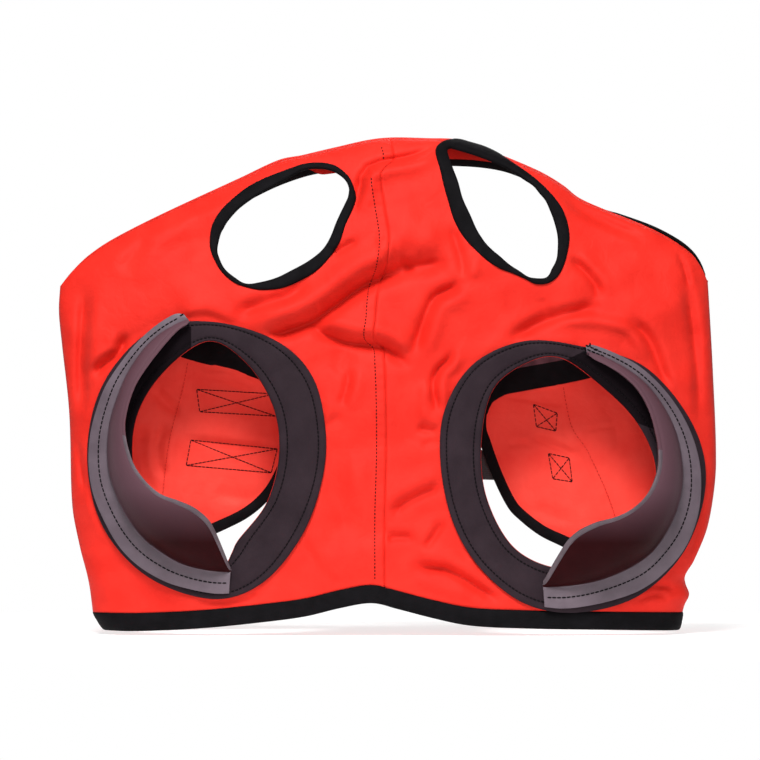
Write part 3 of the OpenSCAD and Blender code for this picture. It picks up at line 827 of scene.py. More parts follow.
@dataclass(frozen=True)
class StretchKnit:
    """Fine four-way stretch knit: matt, with a short bloom and tiny ribs."""

    name: str = "red_stretch_knit"
    colour: tuple[float, float, float] = (0.73, 0.0245, 0.0146)
    deep: tuple[float, float, float] = (0.65, 0.0165, 0.009)
    rib: float = 0.75

    def material(self) -> bpy.types.Material:
        """Build the material."""
        book = NodeBook(self.name)
        shader = book.shader
        place = book.place(True)
        rib = book.node("ShaderNodeTexWave", wave_type="BANDS", bands_direction="X",
                        Scale=0.314 / self.rib, Distortion=0.6, Detail=1.0)
        book.link(place, rib.inputs["Vector"])
        course = book.node("ShaderNodeTexWave", wave_type="BANDS", bands_direction="Y",
                           Scale=0.314 / (self.rib * 0.8), Distortion=0.8, Detail=1.0)
        book.link(place, course.inputs["Vector"])
        both = book.node("ShaderNodeMath", operation="MULTIPLY")
        book.link(rib.outputs["Fac"], both.inputs[0])
        book.link(course.outputs["Fac"], both.inputs[1])
        slow = book.node("ShaderNodeTexNoise", Scale=0.045, Detail=3.0, Roughness=0.55)
        book.link(place, slow.inputs["Vector"])
        fuzz = book.node("ShaderNodeTexNoise", Scale=2.2, Detail=2.0, Roughness=0.7)
        book.link(place, fuzz.inputs["Vector"])
        colour = book.mix(book.ramp(slow.outputs["Fac"], 0.3, 0.72), self.deep, self.colour)
        speck = book.node("ShaderNodeMix", data_type="RGBA", blend_type="MULTIPLY")
        speck.inputs["Factor"].default_value = 0.22
        colours = [s for s in speck.inputs if s.type == "RGBA"]
        book.link(colour, colours[0])
        book.link(book.ramp(both.outputs[0], -0.5, 0.6), colours[1])
        book.link([s for s in speck.outputs if s.type == "RGBA"][0], shader.inputs["Base Color"])
        shader.inputs["Roughness"].default_value = 0.62
        shader.inputs["Specular IOR Level"].default_value = 0.12
        shader.inputs["Sheen Weight"].default_value = 0.03
        shader.inputs["Sheen Roughness"].default_value = 0.45
        shader.inputs["Sheen Tint"].default_value = (1.0, 0.35, 0.25, 1)
        crinkle = book.node("ShaderNodeTexNoise", Scale=0.11, Detail=4.0, Roughness=0.55, Distortion=0.6)
        book.link(place, crinkle.inputs["Vector"])
        first = book.bump(crinkle.outputs["Fac"], 0.3, 2.4)
        second = book.bump(both.outputs[0], 0.35, 0.14, first)
        book.link(book.bump(fuzz.outputs["Fac"], 0.2, 0.12, second), shader.inputs["Normal"])
        return book.material


@dataclass(frozen=True)
class FoldedTape:
    """Folded stretch tape: black, matt, with a fine rib along it."""

    name: str = "black_folded_tape"
    colour: tuple[float, float, float] = (0.0021, 0.0018, 0.0023)

    def material(self) -> bpy.types.Material:
        """Build the material."""
        book = NodeBook(self.name)
        shader = book.shader
        place = book.place(True)
        rib = book.node("ShaderNodeTexWave", wave_type="BANDS", bands_direction="Y",
                        Scale=0.33, Distortion=0.4, Detail=1.0)
        cross = book.node("ShaderNodeTexWave", wave_type="BANDS", bands_direction="X",
                          Scale=0.42, Distortion=0.5, Detail=1.0)
        for wave in (rib, cross):
            book.link(place, wave.inputs["Vector"])
        noise = book.node("ShaderNodeTexNoise", Scale=0.12, Detail=4.0)
        book.link(book.place(False), noise.inputs["Vector"])
        colour = book.mix(book.ramp(noise.outputs["Fac"], 0.3, 0.7), self.colour,
                          tuple(2.1 * c for c in self.colour))
        book.link(colour, shader.inputs["Base Color"])
        shader.inputs["Roughness"].default_value = 0.75
        shader.inputs["Specular IOR Level"].default_value = 0.07
        first = book.bump(noise.outputs["Fac"], 0.4, 1.2)
        second = book.bump(rib.outputs["Fac"], 0.5, 0.12, first)
        book.link(book.bump(cross.outputs["Fac"], 0.4, 0.1, second), shader.inputs["Normal"])
        return book.material


@dataclass(frozen=True)
class Leathercloth:
    """Leathercloth with a fine grain and a sheen set by its roughness."""

    name: str
    colour: tuple[float, float, float]
    lighter: tuple[float, float, float]
    roughness: float
    grain: float = 0.9
    depth: float = 0.12
    specular: float = 0.5
    # painted light: a paler, greyer colour towards the top, blended in between two heights, stands in for
    # light from above
    painted_light: Optional[tuple[float, float, float]] = None
    painted_light_from: float = -268.0
    painted_light_to: float = -232.0

    def material(self) -> bpy.types.Material:
        """Build the material."""
        book = NodeBook(self.name)
        shader = book.shader
        place = book.place(False)
        cells = book.node("ShaderNodeTexVoronoi", feature="DISTANCE_TO_EDGE", Scale=1 / self.grain)
        book.link(place, cells.inputs["Vector"])
        pores = book.node("ShaderNodeTexNoise", Scale=1.6, Detail=3.0, Roughness=0.65)
        book.link(place, pores.inputs["Vector"])
        slow = book.node("ShaderNodeTexNoise", Scale=0.05, Detail=4.0, Roughness=0.6)
        book.link(place, slow.inputs["Vector"])
        colour = book.mix(book.ramp(slow.outputs["Fac"], 0.35, 0.7), self.colour, self.lighter)
        # painted light: blend towards the paler colour higher up, standing in for light from above
        if self.painted_light is not None:
            height = book.node("ShaderNodeSeparateXYZ")
            book.link(place, height.inputs[0])
            paler = book.node("ShaderNodeMix", data_type="RGBA")
            colours = [s for s in paler.inputs if s.type == "RGBA"]
            book.link(colour, colours[0])
            colours[1].default_value = (*self.painted_light, 1)
            share = book.ramp(height.outputs["Z"], self.painted_light_from, self.painted_light_to)
            book.link(share, paler.inputs["Factor"])
            colour = [s for s in paler.outputs if s.type == "RGBA"][0]
        book.link(colour, shader.inputs["Base Color"])
        rough = book.node("ShaderNodeMapRange")
        rough.inputs["To Min"].default_value = self.roughness - 0.05
        rough.inputs["To Max"].default_value = self.roughness + 0.1
        book.link(slow.outputs["Fac"], rough.inputs["Value"])
        book.link(rough.outputs["Result"], shader.inputs["Roughness"])
        shader.inputs["Specular IOR Level"].default_value = self.specular
        first = book.bump(slow.outputs["Fac"], 0.25, 1.5)
        second = book.bump(book.ramp(cells.outputs["Distance"], 0.0, 0.25), 0.5, self.depth, first)
        book.link(book.bump(pores.outputs["Fac"], 0.3, self.depth * 0.6, second),
                  shader.inputs["Normal"])
        return book.material


@dataclass(frozen=True)
class SewingThread:
    """Twisted polyester thread."""

    name: str
    colour: tuple[float, float, float]

    def material(self) -> bpy.types.Material:
        """Build the material."""
        book = NodeBook(self.name)
        twist = book.node("ShaderNodeTexWave", wave_type="BANDS", bands_direction="DIAGONAL",
                          Scale=0.5, Distortion=0.3)
        book.link(book.place(False), twist.inputs["Vector"])
        book.link(book.mix(twist.outputs["Fac"], self.colour, tuple(1.8 * c for c in self.colour)),
                  book.shader.inputs["Base Color"])
        book.shader.inputs["Roughness"].default_value = 0.6
        book.shader.inputs["Specular IOR Level"].default_value = 0.06
        book.link(book.bump(twist.outputs["Fac"], 0.5, 0.1), book.shader.inputs["Normal"])
        return book.material


class PatchPile(Enum):
    """The two faces of hook-and-loop tape."""

    LOOP = "loop"
    HOOK = "hook"


@dataclass(frozen=True)
class GripTape:
    """Hook-and-loop tape with its pile of loops or its rows of hooks."""

    pile: PatchPile
    colour: tuple[float, float, float] = (0.012, 0.012, 0.014)

    def material(self) -> bpy.types.Material:
        """Build the material."""
        book = NodeBook(f"black_{self.pile.value}_tape")
        place = book.place(False)
        if self.pile is PatchPile.LOOP:
            pile = book.node("ShaderNodeTexNoise", Scale=1.1, Detail=5.0, Roughness=0.8, Distortion=1.5)
            book.link(place, pile.inputs["Vector"])
            height, share = pile.outputs["Fac"], pile.outputs["Fac"]
        else:
            pile = book.node("ShaderNodeTexVoronoi", Scale=0.75, Randomness=0.15)
            book.link(place, pile.inputs["Vector"])
            height, share = book.ramp(pile.outputs["Distance"], 0.45, 0.1), pile.outputs["Distance"]
        book.link(book.mix(share, self.colour, tuple(3 * c for c in self.colour)),
                  book.shader.inputs["Base Color"])
        book.shader.inputs["Roughness"].default_value = 0.7 if self.pile is PatchPile.LOOP else 0.45
        book.shader.inputs["Sheen Weight"].default_value = 0.35 if self.pile is PatchPile.LOOP else 0.0
        book.link(book.bump(height, 0.9, 0.6), book.shader.inputs["Normal"])
        return book.material


@dataclass(frozen=True)
class WovenWeb:
    """Flat woven elastic web with ribs along it and a selvedge."""

    name: str = "black_woven_web"
    colour: tuple[float, float, float] = (0.013, 0.013, 0.015)

    def material(self) -> bpy.types.Material:
        """Build the material."""
        book = NodeBook(self.name)
        place = book.place(True)
        warp = book.node("ShaderNodeTexWave", wave_type="BANDS", bands_direction="Y", Scale=0.22,
                         Distortion=0.1)
        weft = book.node("ShaderNodeTexWave", wave_type="BANDS", bands_direction="X", Scale=0.3,
                         Distortion=0.2)
        for wave in (warp, weft):
            book.link(place, wave.inputs["Vector"])
        weave = book.node("ShaderNodeMath", operation="MULTIPLY")
        book.link(warp.outputs["Fac"], weave.inputs[0])
        book.link(weft.outputs["Fac"], weave.inputs[1])
        book.link(book.mix(weave.outputs[0], self.colour, tuple(2.6 * c for c in self.colour)),
                  book.shader.inputs["Base Color"])
        book.shader.inputs["Roughness"].default_value = 0.6
        book.shader.inputs["Sheen Weight"].default_value = 0.2
        book.link(book.bump(weave.outputs[0], 0.8, 0.25), book.shader.inputs["Normal"])
        return book.material


class Wardrobe:
    """Every finish of the hood, made once."""

    def __init__(self) -> None:
        """Build the materials."""
        self.knit = StretchKnit().material()
        # painted light: a brighter copy of the knit for the throat flaps, standing in for light that the
        # hood's front shades off them
        self.flap_knit_painted_light = StretchKnit("red_knit_painted_light", (0.96, 0.075, 0.052),
                                      (0.9, 0.05, 0.034)).material()
        self.tape = FoldedTape().material()
        # painted sheen: a grey copy of the tape colour for light catching the fold of the tape
        self.turned = FoldedTape("grey_tape_painted_sheen", (0.055, 0.024, 0.03)).material()
        self.ring = Leathercloth("black_ring_leathercloth", (0.016, 0.009, 0.0125),
                                 (0.024, 0.0145, 0.019), 0.7, grain=0.8, depth=0.1,
                                 specular=0.1).material()
        # painted shadow: the ring's colour darkened where the cup wall shades the ring
        self.ring_painted_shadow = Leathercloth("black_ring_painted_shadow", (0.004, 0.002, 0.003),
                                        (0.006, 0.0035, 0.005), 0.7, grain=0.8, depth=0.1,
                                        specular=0.04).material()
        # painted light: the flange is the cup's own leathercloth in a paler copy, standing in for the light
        # it catches facing front
        self.cup_flange_painted_light = Leathercloth("grey_cup_flange_painted_light", (0.084, 0.061, 0.076),
                                       (0.12, 0.09, 0.11), 0.45, grain=1.1, depth=0.05,
                                       specular=0.32).material()
        # painted reflection and painted light: the dark maroon tint stands in for the red fabric's
        # reflection, and the paler grey towards the top for light from above
        self.cup = Leathercloth("grey_cup_leathercloth", (0.016, 0.0014, 0.002),
                                (0.022, 0.0024, 0.0032), 0.42, grain=1.1, depth=0.04,
                                specular=0.035, painted_light=(0.09, 0.044, 0.056)).material()
        self.cup_edge = Leathercloth("grey_cup_cut_edge", (0.07, 0.05, 0.06),
                                     (0.11, 0.085, 0.1), 0.5, grain=0.6, depth=0.15,
                                     specular=0.3).material()
        self.thread = SewingThread("black_thread", (0.0025, 0.002, 0.0025)).material()
        self.red_thread = SewingThread("red_thread", (0.45, 0.02, 0.014)).material()
        self.web = WovenWeb().material()
        self.loops = GripTape(PatchPile.LOOP).material()
        self.hooks = GripTape(PatchPile.HOOK).material()


def dress(obj: bpy.types.Object, material: bpy.types.Material) -> None:
    """Give a piece its finish."""
    obj.data.materials.clear()
    obj.data.materials.append(material)


# --- sub-assemblies -------------------------------------------------------------------------


@dataclass
class FaceSide:
    """The two halves of the face side, the crown band and the seam between them."""

    shape: HoodShape
    wardrobe: Wardrobe
    stitches: StitchMaker
    columns: int = 150
    wrap_columns: int = 18
    rows: int = 205
    cloth: float = 1.2
    peep: float = 0.2
    crown_depth: float = 10.0
    crown_ends: tuple[float, float] = (-208.0, 217.0)
    crown_dip: float = 1.3
    neck_lean: float = 6.3

    def half(self, side: Side) -> bpy.types.Object:
        """Cut and shape one half, round to the hinge line of its flap.

        Args:
            side: Which half.

        Returns:
            The cloth.
        """
        shape, n, m = self.shape, self.columns, self.rows
        t = np.linspace(0, 1, m)
        b = (np.sin(t * math.pi / 2) * 0.6 + t * 0.4) * 0.995
        bb, kk = np.meshgrid(b, spread(n, 215.0, ((0.0, 8.0, 2.5), (215.0, 16.0, 4.0))))
        fx = shape.fold[side].at(lerp(shape.hem_z, shape.shoulder_z, bb))
        x = lerp(shape.seam.at(lerp(-300.0, 0.0, bb)), fx, kk)
        z = lerp(shape.hem.at(x) + 0.3, shape.crown.at(x), bb)
        face = shape.face(x, z)
        s = np.linspace(0, 1, self.wrap_columns + 1)[1:]
        bw, sw = np.meshgrid(b, s)
        wrap = shape.wrap(side, sw, bw)
        points = np.concatenate([face, wrap])
        arc = np.concatenate([x, x[-1:, :] + side.value * 30 * sw])
        uv = np.stack([arc, np.concatenate([z, wrap[..., 2]])], -1)
        faces = np.array(grid_faces(len(points), m, flip=side is Side.LEFT))
        flat = points.reshape(-1, 3)
        middle = flat[faces].mean(axis=1)
        front = faces.max(axis=1) < n * m
        eye = Curve(shrink(shape.eyes[side].even(160), self.peep), True).even(160)
        ear = ((shape.ears[side].at(np.linspace(0, 1, 161))
                + shape.ear_edges[side].at(np.linspace(0, 1, 161))) / 2)[:-1]
        keep = ~(front & (inside(eye, middle[:, 0], middle[:, 2]) | inside(ear, middle[:, 0], middle[:, 2])))
        faces = faces[keep]
        flat = self.snap(flat, faces, (eye, ear), n * m)
        used, faces = np.unique(faces, return_inverse=True)
        faces = faces.reshape(-1, 4)
        obj = mesh_piece(f"{side.word}_face_cloth", flat[used], faces, uv.reshape(-1, 2)[used])
        finish_sheet(obj, self.cloth)
        return obj

    def snap(self, flat: Array, faces: Array, loops: tuple[Array, ...], front: int) -> Array:
        """Bring the cut edges of the holes onto clean lines.

        Args:
            flat: The vertices.
            faces: Faces that are left after the cut.
            loops: The clean lines.
            front: How many vertices belong to the face side.

        Returns:
            The vertices with the cut edges moved.
        """
        edges = np.sort(np.concatenate([faces[:, [i, (i + 1) % 4]] for i in range(4)]), axis=1)
        pairs, count = np.unique(edges, axis=0, return_counts=True)
        rim = np.unique(pairs[count == 1])
        rim = rim[rim < front]
        moved = flat.copy()
        for loop in loops:
            line = np.vstack([loop, loop[:1]])
            signed, _, spot = nearest(line, flat[rim, 0], flat[rim, 2])
            near = np.abs(signed) < 4.5
            moved[rim[near]] = self.shape.face(spot[near][:, 0], spot[near][:, 1])
        return moved

    def crown(self) -> bpy.types.Object:
        """The fold over the crown and the band that hangs behind it."""
        shape = self.shape
        left, right = self.crown_ends
        x = np.linspace(left, right, 230)
        dip = 2 - smooth((x - left) / 16) - smooth((right - x) / 10)
        top = shape.crown.at(x) - self.crown_dip * dip
        z0 = lerp(shape.hem.at(x), top, 0.991)
        front = shape.face(x, z0, -0.5)
        shoulder = smooth((x - 140) / 14)
        band = 1 - smooth((x - 92) / 20)
        tuck = 6.0 * np.exp(-(((x + 33) / 12) ** 4))
        low = lerp(top - 3.2, np.minimum(shape.neck.at(x) + self.neck_lean - 2 - tuck, top - 3), band)
        wave = (0.5 * np.sin(x / 9.0) + 0.35 * np.sin(x / 4.3 + 1)) * band
        control = [np.stack([x, front[:, 1], z0], -1), np.stack([x, front[:, 1] * 0.45, top - 0.2], -1),
                   np.stack([x, lerp(-1.4, 2.5, band), top - 0.3], -1),
                   np.stack([x, lerp(lerp(-0.6, 1.6, shoulder), 6, band),
                             lerp(top - 0.8, top - 2, band)], -1),
                   np.stack([x, lerp(lerp(-0.3, 3.6, shoulder), 8.6, band) + wave,
                             lerp(top - 1.5, low, 0.5 * band)], -1),
                   np.stack([x, lerp(lerp(0.6, 6.0, shoulder), self.crown_depth, band),
                             lerp(low, top + shape.proud.at(x) - 5.6, shoulder)], -1)]
        rows = Curve([c.ravel() for c in control]).at(np.linspace(0, 1, 22)).reshape(22, -1, 3)
        uv = np.stack([rows[..., 0], rows[..., 2] + rows[..., 1] * 0.5], -1)
        obj = mesh_piece("crown_cloth", rows.reshape(-1, 3),
                         grid_faces(*rows.shape[:2]), uv.reshape(-1, 2))
        finish_sheet(obj, self.cloth)
        return obj

    def seam_rows(self) -> bpy.types.Object:
        """Stitches beside the centre seam, and a short row over the crown."""
        shape = self.shape
        rows = []
        for low, high, count, beside, off, lean in ((-293, -26, 260, 6.4, 0.05, 0.0),
                                                    (-14, -5, 30, 7.0, 0.1, 0.3)):
            z = np.linspace(low, high, count)
            line = shape.face(shape.seam.at(z) - beside, z, self.cloth / 2 + off)
            rows.append((line, np.tile([0.0, -1.0, lean], (count, 1))))
        return self.stitches.rows("centre_seam_stitches", rows, pitch=2.4, length=1.4, thickness=0.75)

    def build(self) -> None:
        """Build, dress and place the pieces."""
        for side in Side:
            half = self.half(side)
            dress(half, self.wardrobe.knit)
            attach(half, "hood")
            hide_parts(f"{side.word}_front_panel")
            log.info("%s: %d faces", half.name, len(half.data.polygons))
        crown = self.crown()
        dress(crown, self.wardrobe.knit)
        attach(crown, "hood")
        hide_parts("crown_band")
        log.info("%s: %d faces", crown.name, len(crown.data.polygons))
        seam = self.seam_rows()
        dress(seam, self.wardrobe.thread)
        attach(seam, "hood")
        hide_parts("centre_seam_stitching")
        log.info("%s: %d faces", seam.name, len(seam.data.polygons))


def spread(count: int, length: float, close: tuple[tuple[float, float, float], ...]) -> Array:
    """Shares of a length, closer together in some places.

    Args:
        count: How many shares.
        length: The length.
        close: Place, reach and strength of each place where they stand closer.

    Returns:
        Rising shares from 0 to 1.
    """
    s = np.linspace(0, length, 3000)
    density = 1 + sum(high * np.exp(-(((s - place) / reach) ** 2)) for place, reach, high in close)
    run = np.concatenate([[0], np.cumsum((density[1:] + density[:-1]) / 2)])
    return np.interp(np.linspace(0, run[-1], count), run, s) / length


def shrink(loop: Array, by: float) -> Array:
    """A closed loop drawn in towards its inside."""
    way = np.roll(loop, -1, axis=0) - np.roll(loop, 1, axis=0)
    way /= np.linalg.norm(way, axis=1, keepdims=True)
    turn = np.sign(np.sum(loop[:, 0] * np.roll(loop[:, 1], -1) - loop[:, 1] * np.roll(loop[:, 0], -1)))
    return loop + np.stack([-way[:, 1], way[:, 0]], -1) * turn * by


@dataclass
class EarTrim:
    """Folded tape round an ear opening."""

    shape: HoodShape
    wardrobe: Wardrobe
    side: Side
    thickness: float = 3.4

    def build(self) -> None:
        """Build, dress and place the tape."""
        t = np.linspace(0, 1, 221)[:-1]
        outer, inner = self.shape.ear_edges[self.side].at(t), self.shape.ears[self.side].at(t)
        first = self.shape.face(outer[:, 0], outer[:, 1], 0.9)
        second = self.shape.face(inner[:, 0], inner[:, 1], 0.6)
        along = np.roll(first, -1, axis=0) - np.roll(first, 1, axis=0)
        normal = np.cross(along, first - second)
        normal *= -np.sign(normal[:, [1]])
        flat = (outer + inner) / 2
        arch = self.shape.face(flat[:, 0], flat[:, 1], 0.8) - (first + second) / 2
        tape = band(f"{self.side.word}_ear_tape", first, second, normal, self.thickness, True, 18,
                    arch=arch)
        dress(tape, self.wardrobe.tape)
        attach(tape, "hood")
        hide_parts(f"{self.side.word}_ear_binding")
        log.info("%s: %d faces", tape.name, len(tape.data.polygons))


@dataclass
class CupPlan:
    """Lines of a moulded half cup, from the tip above the eye to the nose end."""

    outer: Flat
    inner: Flat
    rim: Flat
    height: tuple[float, ...]
    tack: tuple[Flat, ...]


CUPS = {
    Side.LEFT: CupPlan(
        outer=((-132, -115), (-146, -123), (-160, -135), (-173, -151), (-183, -167), (-190, -187),
               (-193, -204), (-193, -221), (-190, -237), (-183, -254), (-173, -271), (-160, -284),
               (-143, -294), (-127, -299), (-111, -302), (-100, -302)),
        inner=((-127, -121), (-136, -125), (-147, -132), (-157, -142), (-167, -157), (-173, -171),
               (-178, -187), (-180, -204), (-179, -221), (-174, -237), (-166, -252), (-156, -265),
               (-143, -275), (-130, -282), (-114, -286), (-99, -287)),
        rim=((-126, -123), (-134, -128), (-144, -139), (-154, -152), (-162, -165), (-167, -180),
             (-168.5, -193), (-166, -207), (-161, -219), (-153, -229), (-144, -236), (-133, -240),
             (-122, -245), (-113, -253), (-107, -266), (-100, -285)),
        height=(1, 4, 8, 12, 16, 20, 24, 28, 33, 38, 41, 42, 39, 31, 18, 1.5),
        tack=(((-134, -119), (-129, -116)),)),
    Side.RIGHT: CupPlan(
        outer=((136, -136), (153, -142), (172, -152), (189, -168), (202, -187), (210, -207),
               (213, -227), (211, -250), (203, -271), (190, -287), (173, -300), (153, -307),
               (133, -311), (120, -312), (109, -311)),
        inner=((137, -142), (148, -146), (163, -154), (176, -164), (187, -178), (195, -194),
               (199, -211), (200, -227), (197, -244), (190, -260), (180, -274), (166, -284),
               (147, -292), (127, -296), (108, -297)),
        rim=((140, -146), (150, -151), (161, -158), (171, -168), (178, -181), (182, -195),
             (184, -208), (183, -221), (177, -235), (167, -245), (155, -251), (141, -255),
             (127, -263), (117, -278), (109, -294)),
        height=(1, 4, 8, 12, 16, 20, 24, 29, 35, 40, 42, 39, 30, 16, 1.5),
        tack=(((134, -139), (146, -144)), ((134, -141.5), (144, -146)), ((136, -137.5), (145, -141)),
              ((139, -140), (139.5, -134.5)), ((145, -143), (150, -146)))),
}


@dataclass
class EyeSet:
    """Ring and half cup of one eye, with their stitching."""

    shape: HoodShape
    wardrobe: Wardrobe
    stitches: StitchMaker
    side: Side
    plan: CupPlan
    ring_off: float = 2.6
    ring_t: float = 1.8
    ring_rows: tuple[float, float] = (0.16, 0.82)
    cup_off: float = 6.0
    cup_t: float = 2.4
    bend: float = 82.0
    lip: float = 3.2
    notch: float = 0.42
    # middle and reach, in degrees, of the stretch of the ring under the cup wall that carries painted
    # shadow, a darker copy of the ring's colour
    shadowed_arc: tuple[float, float] = (0.0, 36.0)

    def ring(self) -> bpy.types.Object:
        """The flat ring, with soft edges."""
        t = np.linspace(0, 1, 241)[:-1]
        outer, inner = self.shape.rings[self.side].at(t), self.shape.eyes[self.side].at(t)
        share = np.array([0.0, 0.02, 0.06, 0.12, 0.16, 0.2, 0.3, 0.42, 0.54, 0.66, 0.77, 0.82, 0.87,
                          0.94, 0.98, 1.0])
        puff = self.ring_t / 2 * np.array([0.1, 0.6, 0.9, 1.0, 1.0, 1.0, 1.1, 1.15, 1.2, 1.15, 1.05,
                                           1.0, 1.0, 0.9, 0.6, 0.1])
        for sewn in self.ring_rows:
            puff -= 0.5 * np.exp(-(((share - sewn) / 0.03) ** 2))
        flat = outer[:, None] + (inner - outer)[:, None] * share[None, :, None]
        x, z = flat[..., 0], flat[..., 1]
        top = self.shape.face(x, z, self.ring_off + puff[None, :] + 0 * x)
        low = self.shape.face(x[:, ::-1], z[:, ::-1], self.ring_off - self.ring_t / 2 + 0 * x)
        rings = np.concatenate([top, low], axis=1)
        n, m = rings.shape[:2]
        run = np.repeat(np.linspace(0, self.shape.rings[self.side].length(), n)[:, None], m, 1)
        width = np.concatenate([share, share[::-1]]) * 30
        uv = np.stack([run, np.broadcast_to(width, (n, m))], -1)
        obj = mesh_piece(f"{self.side.word}_ring_leather", rings.reshape(-1, 3),
                         grid_faces(n, m, True, True), uv.reshape(-1, 2))
        outward(obj)
        # the second slot is painted shadow, on the ring's inner part under the cup wall
        for material in (self.wardrobe.ring, self.wardrobe.ring_painted_shadow):
            obj.data.materials.append(material)
        under = np.zeros(len(share) * 2, bool)
        under[5:len(share)] = True
        angle = np.degrees(np.arctan2(*(outer - outer.mean(axis=0)).T[::-1]))
        middle, reach = self.shadowed_arc
        around = np.abs((angle - middle + 180) % 360 - 180) < reach
        slots = (around[:, None] & under[None, :]).astype(np.int32)
        obj.data.polygons.foreach_set("material_index", slots.ravel())
        return obj

    def ring_stitches(self) -> bpy.types.Object:
        """Two rows of stitches along the ring."""
        rows = []
        for share in self.ring_rows:
            t = np.linspace(0, 1, 400)
            outer, inner = self.shape.rings[self.side].at(t), self.shape.eyes[self.side].at(t)
            line = lerp(outer, inner, share)
            off = self.ring_off + self.ring_t / 2 - 0.05
            low = self.shape.face(line[:, 0], line[:, 1])
            high = self.shape.face(line[:, 0], line[:, 1], off)
            rows.append((high, high - low))
        return self.stitches.rows(f"{self.side.word}_ring_stitches", rows, pitch=2.7, length=1.9,
                                  thickness=0.85)

    def section(self, t: Array) -> tuple[Array, Array, Array]:
        """Flat lines of the cup at shares of its run: outer, inner and rim."""
        return Curve(self.plan.outer).at(t), Curve(self.plan.inner).at(t), Curve(self.plan.rim).at(t)

    def cup(self) -> bpy.types.Object:
        """The moulded sheet: flange, tight bend and wall that closes in over the eye."""
        n = 150
        outer, inner, rim = self.section(np.linspace(0, 1, n))
        height = Curve([(h,) for h in self.plan.height]).at(np.linspace(0, 1, n))[:, 0]
        pinch = 0.45 * np.exp(-((np.arange(n) / 2.2) ** 2))[:, None]
        outer, rim = lerp(outer, inner, pinch), lerp(rim, inner, pinch)
        flange = (0.0, 0.1, 0.28, 0.45, 0.62, 0.8, 0.92)
        rows = []
        for w in flange:
            p = lerp(outer, inner, w)
            rows.append(self.shape.face(p[:, 0], p[:, 1], self.cup_off + 0.5 * math.sin(math.pi * w), 0.0))
        base = self.shape.face(inner[:, 0], inner[:, 1], self.cup_off, 0.0)
        reach = rim - inner
        bend = math.radians(self.bend)
        length = np.hypot(np.hypot(*reach.T), height)
        lip = np.clip(1 - self.lip / np.maximum(length, 1), 0.4, 1)
        for s in np.linspace(0.05, 1, 18):
            share = s * lip
            rows.append(self.wall(base, reach, height, share, bend))
        cut_edge = ((0.12, -0.5), (0.3, -0.1), (0.55, 0.15), (1.0, 0.0))
        for s, drop in cut_edge:
            row = self.wall(base, reach, height, lerp(lip, 1.0, s), bend)
            rows.append(row + [0.0, -drop, 0.0])
        grid = np.stack(rows, axis=1)
        m = grid.shape[1]
        select_none()
        bpy.ops.mesh.primitive_grid_add(x_subdivisions=m - 1, y_subdivisions=n - 1, size=0.1)
        obj = bpy.context.active_object
        obj.name = obj.data.name = f"{self.side.word}_moulded_cup"
        obj.data.vertices.foreach_set("co", (grid * MM).astype(np.float32).ravel())
        obj.data.update()
        # slot 0, on the flange, carries painted light: a paler copy of the cup's colour
        for material in (self.wardrobe.cup_flange_painted_light, self.wardrobe.cup, self.wardrobe.cup_edge):
            obj.data.materials.append(material)
        row, column = np.divmod(np.arange(len(obj.data.polygons)), m - 1)
        plain = (column < m - 1 - len(cut_edge)) | (row < self.notch * n)
        slots = np.where(column < len(flange), 0, np.where(plain, 1, 2))
        obj.data.polygons.foreach_set("material_index", slots.astype(np.int32))
        if obj.data.polygons[3].normal.y > 0:
            obj.data.flip_normals()
        solid = obj.modifiers.new("sheet", "SOLIDIFY")
        solid.thickness = self.cup_t * MM
        solid.offset = 0.0
        only(obj)
        bpy.ops.object.modifier_apply(modifier=solid.name)
        bevel = obj.modifiers.new("edges", "BEVEL")
        bevel.width = 0.45 * MM
        bevel.segments = 2
        bevel.limit_method = "ANGLE"
        bevel.angle_limit = math.radians(50)
        bpy.ops.object.modifier_apply(modifier=bevel.name)
        bpy.ops.object.shade_smooth_by_angle(angle=math.radians(50))
        return obj

    def wall(self, base: Array, reach: Array, height: Array, share: Array, bend: float) -> Array:
        """One line along the cup's wall.

        Args:
            base: Points where the wall leaves the flange.
            reach: Flat way from the base to the rim.
            height: How far the rim stands out.
            share: Share of the way up the wall.
            bend: How far the wall turns in, in radians.

        Returns:
            The points.
        """
        a = share * bend
        f, g = (1 - np.cos(a)) / (1 - math.cos(bend)), np.sin(a) / math.sin(bend)
        return base + np.stack([reach[:, 0] * f, -height * g, reach[:, 1] * f], -1)

    def cup_stitches(self) -> bpy.types.Object:
        """A row of stitches along the flange."""
        t = np.linspace(0.03, 0.985, 300)
        outer, inner, _ = self.section(t)
        line = lerp(outer, inner, 0.45)
        low = self.shape.face(line[:, 0], line[:, 1], 0.0, 0.0)
        high = self.shape.face(line[:, 0], line[:, 1], self.cup_off + self.cup_t / 2 + 0.5, 0.0)
        rows = [(high, high - low)]
        for ends in self.plan.tack:
            tack = Curve(ends).even(30)
            low = self.shape.face(tack[:, 0], tack[:, 1], 0.0, 0.0)
            high = self.shape.face(tack[:, 0], tack[:, 1], self.cup_off + self.cup_t / 2 + 0.6, 0.0)
            rows.append((high, high - low))
        return self.stitches.rows(f"{self.side.word}_cup_stitches", rows, pitch=3.2, length=2.6,
                                  thickness=0.95)

    def build(self) -> None:
        """Build, dress and place the pieces."""
        word = self.side.word
        ring, cup = self.ring(), self.cup()
        rows, flange = self.ring_stitches(), self.cup_stitches()
        for piece in (rows, flange):
            dress(piece, self.wardrobe.thread)
        for piece, node in ((ring, "eye_ring"), (cup, "blinker_cup"), (rows, "ring_stitching"),
                            (flange, "cup_stitching")):
            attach(piece, "hood")
            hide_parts(f"{word}_{node}")
            log.info("%s: %d faces", piece.name, len(piece.data.polygons))


